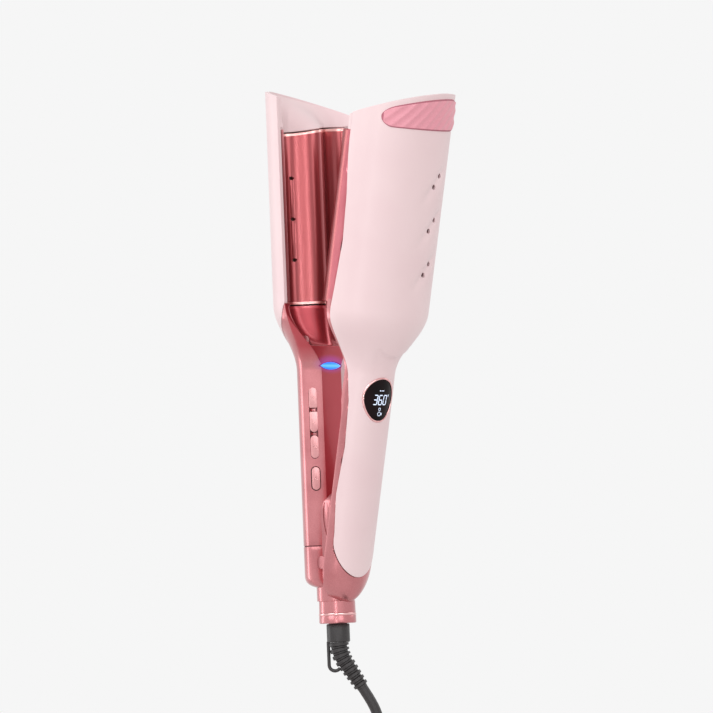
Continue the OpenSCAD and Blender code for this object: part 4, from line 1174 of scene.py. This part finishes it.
# %% Front body
front_rows = (end_rows(FRONT.low, 2.0, 10) + spread(2.4, 32, 74) + spread(34, 118, 22) + spread(120, 138, 10)
              + spread(139, 142, 12) + spread(143, PLATE_LOW - 0.2, 30) + spread(164, PLATE_HIGH, 12))
front_body = body_skin("front_body", FRONT, front_rows, SKIN_DROP, under_front_casing, front_bulge)
round_edges(front_body, 1.0, 3, 24)
cut(front_body, *vent_holes())
cut(front_body, post_room())
round_edges(front_body, 0.3, 2, 32)
join([front_body] + hinge_bars(KNUCKLE_D, KNUCKLE_IN, KNUCKLE_OUT))
place(front_body, TO_FRONT)
finish_piece(smooth_shade(front_body, 30), rose_front_painted_shade, "front_arm", "front_frame", "front_end",
             slot="rose_frame", extra=(rim_rose_painted_light,))
# Above the plate's lower edge the front body takes the lighter copy, painted light on the jaw's rim strip.
for p in front_body.data.polygons:
    p.material_index = int(p.center.z > PLATE_LOW * MM)
print("front body", len(front_body.data.polygons), "faces")

# %% [markdown]
# ## The hot plates
# A plate is one pressed aluminium sheet. The rear one is an open wave whose flat edge ends in
# the rim, with a painted highlight along its edges above and below. The front one is the same
# wave turned round, and it is closed behind.

# %% Rear plate
PLATE_RISE = 5.3  # how much higher the rear plate ends on its right than on its left
# The first and last rows take a lighter metal: a painted highlight for the light on the bevelled edges.
PLATE_ROWS = (0, 0.014, 0.25, 0.5, 0.75, 0.986, 1)  # the first and the last row are the bright edges
PLATE_N, EDGE_HIGHLIGHT_BAND = 150, 1.3
HOLE_X, HOLE_Z, HOLE_PITCH = -13.2, 211.0, 24.0
plate_xs = wave_places(PLATE_N)


def end_rise(x):
    return PLATE_RISE * smooth((x + 17) / 42)


def rear_plate_point(i, k):
    x = plate_xs[i]
    return x, CLOSING_GAP + wave(x), PLATE_LOW + (PLATE_HIGH + end_rise(x) - PLATE_LOW) * PLATE_ROWS[k]


def rear_plate_finish(p):
    """0 for the coated wave, 1 for the rim and 2 for the bands of painted highlight at the edges."""
    x, z = p.center.x / MM, p.center.z / MM
    if abs(x) > PLATE_HALF + 0.1:
        return 1
    return 2 if z < PLATE_LOW + EDGE_HIGHLIGHT_BAND or z > PLATE_HIGH + end_rise(x) - EDGE_HIGHLIGHT_BAND else 0


rear_plate = laid_grid("rear_hot_plate", PLATE_N, len(PLATE_ROWS) - 1, rear_plate_point)
turn_sheet(edit(rear_plate, face_out), -1)
thicken(rear_plate, PLATE_T)
cut(rear_plate, *[bar(2.2, (HOLE_X, 8, HOLE_Z + HOLE_PITCH * i), (HOLE_X, 22, HOLE_Z + HOLE_PITCH * i))
                  for i in (-1, 0, 1)])
round_edges(rear_plate, 0.35, 2, 45)
finish_piece(smooth_shade(rear_plate, 40), coat, "rear_arm", "rear_plate", slot="hot_plate",
             extra=(rose, painted_edge_highlight))
for p in rear_plate.data.polygons:
    p.material_index = rear_plate_finish(p)

# %% Front plate
FRONT_HALF = PLATE_HALF - 0.5
front_line = [(x, 0.2 - wave(x, FRONT_HALF)) for x in wave_places(PLATE_N, FRONT_HALF)]
front_plate = prism("front_hot_plate", front_line + [(FRONT_HALF, 1.6), (-FRONT_HALF, 1.6)],
                    lambda p, z: (*p, z), (PLATE_LOW, PLATE_HIGH))
round_edges(front_plate, 1.0, 3, 50)
place(front_plate, TO_FRONT)
finish_piece(smooth_shade(front_plate, 40), coat, "front_arm", "front_plate", slot="hot_plate")
print("plates", len(rear_plate.data.polygons), len(front_plate.data.polygons))

# %% [markdown]
# ## The tips
# Above the plates each jaw ends in a cool tip. The rear one's hollow starts as the wave and the
# front one's starts flat. Both flare until they meet the casing's inside at the slanting rim.

# %% Tips
TIP_RIM, TIP_DEEP, TIP_SHALLOW = 31.6, 25.6, 3
TIP_GAP, TIP_DROP = 0.25, 0.3  # how far a tip starts above the plate and ends below the rim
TIP_ROWS, TIP_N = 24, 110


def tip(name, share, edge):
    """The tip of an arm. share is how much of the wave it takes up, edge its outer half width."""
    xs = wave_places(TIP_N)
    lead = [(-edge, 2.6), (-edge, CLOSING_GAP), (-(edge + PLATE_HALF) / 2, CLOSING_GAP)]
    tail = [(-x, y) for x, y in reversed(lead)]
    columns = len(lead) + TIP_N + len(tail)

    def foot(x):
        return PLATE_HIGH + TIP_GAP + share * (0.8 + end_rise(x))

    def point(i, k):
        t = k / TIP_ROWS
        if i < len(lead) or i > columns - len(tail):
            x, y = lead[i] if i < len(lead) else tail[i - columns + len(tail) - 1]
            return x, y, foot(x) + (tip_height(x, y) - TIP_DROP - foot(x)) * t
        x = xs[i - len(lead)]
        x1 = x * TIP_RIM / PLATE_HALF
        y1 = TIP_SHALLOW + (TIP_DEEP - TIP_SHALLOW) * math.sqrt(max(0.0, 1 - (x / PLATE_HALF) ** 2))
        y0 = share * wave(x) + CLOSING_GAP + 0.5 * smooth((PLATE_HALF - abs(x)) / 2)
        rise = smooth(t) * 0.35 + t * 0.65
        z = foot(x) + (tip_height(x1, y1) - TIP_DROP - foot(x)) * t
        return x + (x1 - x) * t, y0 + (y1 - y0) * rise, z

    o = turn_sheet(edit(laid_grid(name, columns, TIP_ROWS, point), face_out), -1)
    thicken(o, 1.0)
    return smooth_shade(round_edges(o, 0.25, 2, 50), 40)


finish_piece(tip("rear_tip_cup", 1, 31.7), pearl, "rear_arm", "rear_tip", slot="pale_shell")
front_tip = place(tip("front_tip_cup", 0, JAW_HALF - 0.05), TO_FRONT)
finish_piece(front_tip, pearl, "front_arm", "front_tip", slot="pale_shell")

# %% [markdown]
# ## The finger pads
# A soft pad lies over each tip, so that the second hand can steady the jaw. It is a sheet of
# silicone that follows the casing, with slanting ribs and a rounded border.

# %% Pads
PAD_CORNER, PAD_LOW, PAD_RISE, PAD_DROP = 6.0, 265.5, 0.72, 3.0
RIB_PITCH, RIB_RISE, RIB_RUN, RIB_LIFT = 5.2, 0.5, 0.8, 0.77
PAD_EDGE, PAD_T = 1.2, 0.6
PAD_COLUMNS, PAD_ROWS = 220, 60
SHADE_COLUMNS, SHADE_ROWS = 8, 3


def pad(name, arm, pad_half):
    """A ribbed sheet over the tip of an arm. Its border runs down to the casing."""
    def point(i, k):
        u = 2 * i / PAD_COLUMNS - 1
        x = pad_half * (0.55 * math.sin(math.pi / 2 * u) + 0.45 * u)
        half, depth, _, _, foot = section(arm, JAW_AT)
        y = foot + (depth - foot) * math.sqrt(1 - (x / half) ** 2)
        corner = max(0.0, abs(x) - pad_half + PAD_CORNER)
        dip = PAD_CORNER - math.sqrt(max(0.0, PAD_CORNER ** 2 - corner ** 2))
        low, high = PAD_LOW + dip, tip_height(x, y) - PAD_DROP - dip * 0.6
        z = low + (high - low) * k / PAD_ROWS
        rim = min(1.0, (pad_half - abs(x)) / PAD_EDGE, z - low, high - z)
        rib = 0.5 + 0.5 * math.cos(2 * math.pi * (RIB_RUN * x + RIB_LIFT * z) / RIB_PITCH)
        up = PAD_RISE * math.sqrt(max(0.0, rim)) + RIB_RISE * rib ** 1.5 * smooth(rim * 1.2 - 0.1)
        n = Vector((x / half ** 2, (y - foot) / (depth - foot) ** 2)).normalized()
        return x + n.x * up, y + n.y * up, z
    o = turn_sheet(edit(laid_grid(name, PAD_COLUMNS, PAD_ROWS, point), face_out), 1)
    return smooth_shade(thicken(o, PAD_T), 50)


def shade_border(o):
    """Paints the walls round a pad's border, which lie in shade, in a darker colour: painted shade."""
    n = PAD_COLUMNS * PAD_ROWS
    for index, p in enumerate(o.data.polygons):
        k, i = divmod(index % n, PAD_COLUMNS)
        inside = (SHADE_ROWS <= k < PAD_ROWS - SHADE_ROWS
                  and SHADE_COLUMNS <= i < PAD_COLUMNS - SHADE_COLUMNS)
        p.material_index = int(index >= n or not inside)


rear_pad = pad("rear_finger_pad", REAR, 23.5)
finish_piece(rear_pad, pad_pink, "rear_arm", "rear_pad", slot="rose_pad", extra=(pad_shade,))
front_pad = place(pad("front_finger_pad", FRONT, 27.5), TO_FRONT)
finish_piece(front_pad, pad_pink, "front_arm", "front_pad", slot="rose_pad", extra=(pad_shade,))
for o in (rear_pad, front_pad):
    shade_border(o)

# %% [markdown]
# ## The display
# A smoked lens sits in a thin plated rim. The rim's section is swept round the window's
# outline; the lens is the same outline drawn in to its middle in rings. It is too dark to see
# through, so the digits, lit bars of seven segments each, lie just above its surface.

# %% Display rim and lens
EGG_STEPS, LENS_RINGS = 96, 10
RIM_SECTION = [(0.02, -1.2), (0.02, 0.25), (0.25, 0.5), (0.7, 0.5), (0.95, 0.2), (0.95, -1.2), (0.02, -1.2)]


def on_window(x, z, rise):
    """Point of the handle at a place of the window, seen from outside, raised by rise."""
    return -x, handle_surface(-x, DISPLAY_Z + z) + rise, DISPLAY_Z + z


def rim_point(i, k):
    grow, rise = RIM_SECTION[k]
    return on_window(*egg(2 * math.pi * i / EGG_STEPS, grow), rise)


def lens_point(i, k):
    x, z = egg(2 * math.pi * i / EGG_STEPS)
    t = k / LENS_RINGS
    return on_window(x * t, 2.0 + (z - 2.0) * t, 0.12 - 0.22 * t ** 8)


display_rim = edit(laid_grid("display_rim", EGG_STEPS, len(RIM_SECTION) - 1, rim_point), merge, face_out)
place(display_rim, TO_FRONT)
finish_piece(smooth_shade(display_rim, 50), rim_plate, "front_arm", "display_bezel", slot="rose_trim")

display_lens = edit(laid_grid("display_lens", EGG_STEPS, LENS_RINGS, lens_point), merge, face_out)
thicken(turn_sheet(display_lens, 1), 1.0)
place(display_lens, TO_FRONT)
finish_piece(smooth_shade(display_lens, 50), lens, "front_arm", "display_glass", slot="display_black")

# %% Display segments
DIGIT_W, DIGIT_H, STROKE, DIGIT_PITCH, DIGIT_LEAN = 2.35, 5.4, 0.55, 3.5, 0.1
SEGMENTS = {"0": "abcdef", "3": "abcdg", "6": "acdefg"}
BARS = {"a": (0, 1, 1, 1), "g": (0, 0.5, 1, 0.5), "d": (0, 0, 1, 0),
        "f": (0, 0.5, 0, 1), "b": (1, 0.5, 1, 1), "e": (0, 0, 0, 0.5), "c": (1, 0, 1, 0.5)}


def segment(a, b, width):
    """A flat lit bar with pointed ends, lying on the lens from a to b, seen from outside."""
    a, b = Vector(a), Vector(b)
    w = (b - a).normalized() * width
    n = Vector((-w.y, w.x)) / 2
    a, b = a + w * 0.12, b - w * 0.12
    ring = [a, a + w / 2 + n, b - w / 2 + n, b, b - w / 2 - n, a + w / 2 - n]
    return prism("segment", ring, lambda p, rise: on_window(p.x, p.y, rise), (0.0, 0.17))


def digit_bars(x0, z0, text):
    made = []
    for n, letter in enumerate(text):
        for key in SEGMENTS[letter]:
            u0, v0, u1, v1 = BARS[key]
            a, b = ((x0 + n * DIGIT_PITCH + u * DIGIT_W + DIGIT_LEAN * v * DIGIT_H, z0 + v * DIGIT_H)
                    for u, v in ((u0, v0), (u1, v1)))
            made.append(segment(a, b, STROKE))
    return made


def ring_bars(x, z, r, n, stroke):
    corners = [(x + r * math.cos(a), z + r * math.sin(a)) for a in spread(0, 2 * math.pi, n)]
    return [segment(a, b, stroke) for a, b in zip(corners, corners[1:])]


bars = digit_bars(-4.9, -1.6, "360") + ring_bars(6.3, 3.6, 0.5, 6, 0.35)
bars += [segment((-0.9 + 1.3 * i, 5.9), (-0.9 + 1.3 * i, 7.0), 0.7) for i in range(3)]
bars += ring_bars(0.2, -7.0, 1.2, 8, 0.4) + ring_bars(0.2, -4.3, 0.85, 6, 0.4)
bars += [segment((1.9, -7.8), (1.9, -6.2), 0.5)]
digits = place(named(join(bars), "display_digits"), TO_FRONT)
finish_piece(digits, digits_lit, "front_arm", slot="display_black")
print("display", len(bars), "bars")

# %% [markdown]
# ## Buttons
# Each button is a pill that stands 0.5 mm above the facet. The two rockers are cut straight
# where they face each other. They move along the facet's normal with their own bodies. Each
# carries a raised plated mark: plus, minus, a ring, and a broken ring with a bar.

# %% Buttons and their marks
MARK_D, MARK_ARM = 0.34, 0.8


def arc_strokes(r, a0, a1, n=14):
    points = [(r * math.cos(math.radians(a)), r * math.sin(math.radians(a))) for a in spread(a0, a1, n)]
    return list(zip(points, points[1:]))


level, upright = ((-MARK_ARM, 0), (MARK_ARM, 0)), ((0, -MARK_ARM), (0, MARK_ARM))
BUTTONS = [  # name, height, length, round below, round above, height of its mark, strokes
    ("plus", PLUS_Z, ROCKER_L, False, True, PLUS_Z + 0.4, [level, upright]),
    ("minus", MINUS_Z, ROCKER_L, True, False, MINUS_Z - 0.4, [level]),
    ("mode", MODE_Z, MODE_L, True, True, MODE_Z, arc_strokes(0.85, 0, 360)),
    ("power", POWER_Z, POWER_L, True, True, POWER_Z,
     arc_strokes(0.95, 125, 415) + [((0, 0.3), (0, 1.3))]),
]
for name, z, length, round_low, round_high, mark_z, strokes in BUTTONS:
    body = name + "_button"
    key = pill(name + "_key", BUTTON_W, length, BUTTON_BOTTOM, BUTTON_TOP, round_low, round_high)
    place(round_edges(key, 0.45, 4, 60), facet_frame(z))
    finish_piece(smooth_shade(key, 40), rose_light, body, body, slot="button_rose")
    bars = [bar(MARK_D, (*a, BUTTON_TOP), (*b, BUTTON_TOP), 12) for a, b in strokes]
    mark = place(named(join(bars), name + "_mark"), facet_frame(mark_z))
    finish_piece(smooth_shade(mark, 60), rim_plate, body, slot="rose_trim")

# %% [markdown]
# ## Light, screw covers and hinge post
# The light is an almond-shaped diffuser let into the rear neck. Above it two round plugs
# cover the screws. Between the arms stands the hinge post with two almond slots.

# %% Light
light = almond_bar("light_lens", LIGHT_W, LIGHT_H - 1.4, CLOSING_GAP + 0.1, CLOSING_GAP + 1.0, LIGHT_Z)
round_edges(light, 0.3, 2, 50)
finish_piece(smooth_shade(light, 40), blue, "rear_arm", "light_window", slot="blue_light")

# %% Screw covers
for side, word, nodes in ((-1, "left", ()), (1, "right", ("neck_plugs",))):
    x = side * SCREW_X
    o = named(bar(COVER_D, (x, COVER_Y - 1.0, SCREW_Z), (x, COVER_Y + 1.1, SCREW_Z), 48), "neck_plug_" + word)
    round_edges(o, 0.25, 2, 50)
    finish_piece(smooth_shade(o, 40), rose, "rear_arm", *nodes, slot="rose_frame")

# %% Hinge post
SLOT_W, SLOT_H, SLOT_DROP, SLOT_TURN = 24, 3.4, 14, 62
dome = [(POST_R * math.cos(a), POST_TOP - POST_R + POST_R * math.sin(a))
        for a in spread(0, math.pi / 2 - 0.002, 18)]
post = lathe("hinge_post_body", [(0.01, COLLAR_TOP), (POST_R, COLLAR_TOP), (POST_R, 20)] + dome, POST_Y)
slots = []
for side in SIDES:
    slot = almond_bar("post_slot", SLOT_W, SLOT_H, -POST_R - 3, 1.2 - POST_R, 0)
    turn = (Matrix.Translation(Vector((0, POST_Y, POST_TOP - SLOT_DROP)) * MM)
            @ Matrix.Rotation(math.radians(SLOT_TURN * side), 4, "Z") @ Matrix.Rotation(math.pi / 2, 4, "Y"))
    slots.append(place(slot, turn))
cut(post, *slots)
round_edges(post, 0.35, 3, 40)
finish_piece(smooth_shade(post, 40), rose, "rear_arm", "hinge_post", slot="rose_frame")

# %% [markdown]
# ## Collar and swivel
# Turned parts: each is a profile spun round the cord's axis.

# %% Collar, ring and stub
COLLAR = [(5.6, -21), (5.6, -25), (10.3, -25), (10.75, -24.5), (10.75, -20.7), (10.6, -20.5), (9.95, -20.5),
          (9.95, -19.1), (10.4, -19.1), (10.6, -18.9), (10.5, -12.2), (10.3, -12), (5.6, -12)]
RING = [(9.9, -20.45), (10.7, -20.45), (10.9, -20.2), (10.9, -19.4), (10.7, -19.15), (9.9, -19.15)]
STUB = [(2.5, -34), (2.5, -36), (6.1, -36), (6.7, -35.4), (6.7, -25.9), (6.4, -25.3), (5.5, -25.3),
        (5.5, -21), (2.5, -21)]
for node, profile, finish, body, slot in (("collar", COLLAR, rose, "rear_arm", "rose_frame"),
                                          ("collar_ring", RING, rim_plate, "rear_arm", "rose_trim"),
                                          ("swivel_stub", STUB, black_pvc, "cord", "black_rubber")):
    finish_piece(smooth_shade(lathe(node + "_body", profile, COLLAR_Y), 40), finish, body, node, slot=slot)

# %% [markdown]
# ## Inside parts
# The parts inside the casings keep their CAD shapes, and each gets the finish of what it is.
# The screws of the arms are copies. The front ones' heads are sunk below the inner face, and the
# rear ones, whose CAD tips stand out of the back of the rear shell, are cut off inside it.

# %% Inside finishes
INSIDE = [
    (mica, ("rear_carrier", "front_carrier")),
    (ceramic, ("rear_heaters", "front_heaters")),
    (board_green, ("light_board", "main_board", "switch_board", "display_board")),
    (steel, ("rear_sensor", "front_sensor", "hinge_pin", "hinge_spring")),
    (wire_red, ("rear_wires", "front_wires")),
    (rose, ("hinge_cheeks",)),
]


def cad_pieces(name):
    """The CAD objects of a node, always as a list."""
    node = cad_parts[name]
    return node if isinstance(node, (list, tuple)) else [node]


for finish, names in INSIDE:
    for name in names:
        for o in cad_pieces(name):
            for s in o.material_slots:
                s.material = finish


def sunk(name, body, frame_of_arm, low, high):
    """A copy of a set of screws, held between the depths low(z) and high in the arm's frame."""
    made = cad_pieces(name)[0]
    o = made.copy()
    o.data = made.data.copy()
    named(o, name + "_sunk")
    bpy.context.collection.objects.link(o)
    back = frame_of_arm.inverted()
    for v in o.data.vertices:
        p = back @ v.co / MM
        p.y = min(high, max(p.y, low(p.z)))
        v.co = frame_of_arm @ (p * MM)
    finish_piece(o, steel, body, name, slot="steel")


NO_LIMIT, HEAD_SINK, TIP_LIMIT = 1000.0, 0.6, 16.0
sunk("front_screws", "front_arm", TO_FRONT, lambda z: inner_face(FRONT, z) + HEAD_SINK, NO_LIMIT)
sunk("rear_screws", "rear_arm", Matrix.Identity(4), lambda z: -NO_LIMIT, TIP_LIMIT)

# %% [markdown]
# ## Floor, backdrop and light
# The tool is shown against a plain pale backdrop. Its colour comes from the world, seen by the
# camera, in reflections and through clear parts. Five soft area lamps light the object.

# %% World
world = bpy.data.worlds.new("pale studio")
bpy.context.scene.world = world
world.use_nodes = True
tree = world.node_tree
tree.nodes.clear()
path = add(tree, "ShaderNodeLightPath").outputs
seen = maths(tree, "MAXIMUM", path["Is Camera Ray"], path["Is Transmission Ray"])
seen = maths(tree, "MAXIMUM", seen, path["Is Glossy Ray"])
ambient = add(tree, "ShaderNodeBackground", {"Color": colour("fff6f4"), "Strength": 0.58})
backdrop = add(tree, "ShaderNodeBackground", {"Color": colour("f6f6f6"), "Strength": 1.0})
mix = add(tree, "ShaderNodeMixShader", {0: seen, 1: ambient.outputs[0], 2: backdrop.outputs[0]})
add(tree, "ShaderNodeOutputWorld", {"Surface": mix.outputs[0]})

# %% Lamps
# name, azimuth and height in degrees, distance, width and length in metres, power in watts
LAMPS = [
    ("key", -85, 35, 1.1, 0.6, 0.96, 4.2),
    ("strip", -51, 2, 1.3, 0.03, 1.3, 2.4),
    ("front", -20, 25, 1.3, 0.6, 0.96, 3.7),
    ("rim", 70, 30, 1.2, 0.5, 0.8, 1.7),
    ("left edge", -150, 5, 1.2, 0.3, 1.2, 3.0),
]
CENTRE = Vector((0, -0.02, 0.14))  # what the lamps look at, in metres
for name, azimuth, height, distance, width, long, power in LAMPS:
    a, h = math.radians(azimuth), math.radians(height)
    way = Vector((math.sin(a) * math.cos(h), -math.cos(a) * math.cos(h), math.sin(h)))
    bpy.ops.object.light_add(type="AREA", location=CENTRE + way * distance)
    lamp = active()
    lamp.name = name + "_lamp"
    lamp.rotation_euler = way.to_track_quat("Z", "Y").to_euler()
    lamp.data.shape, lamp.data.size, lamp.data.size_y = "RECTANGLE", width, long
    lamp.data.energy = power

# %% Floor
FLOOR_GAP = 1.0
floor_z = PLUG_TOP - PLUG_L - BLADE_L - FLOOR_GAP
bpy.ops.mesh.primitive_plane_add(size=1.6, location=(0, 0, floor_z * MM))
floor = active()
floor.name = "studio_floor"
apply_transform()
board, board_tree, board_shader = start("white studio board", "f4f4f4", Roughness=0.8)
tint(board_tree, board_shader, noise(board_tree, 4), "f2f2f2", "f6f6f6")
floor.data.materials.append(board)

# %% Finish
bpy.context.scene.view_settings.view_transform = "Standard"
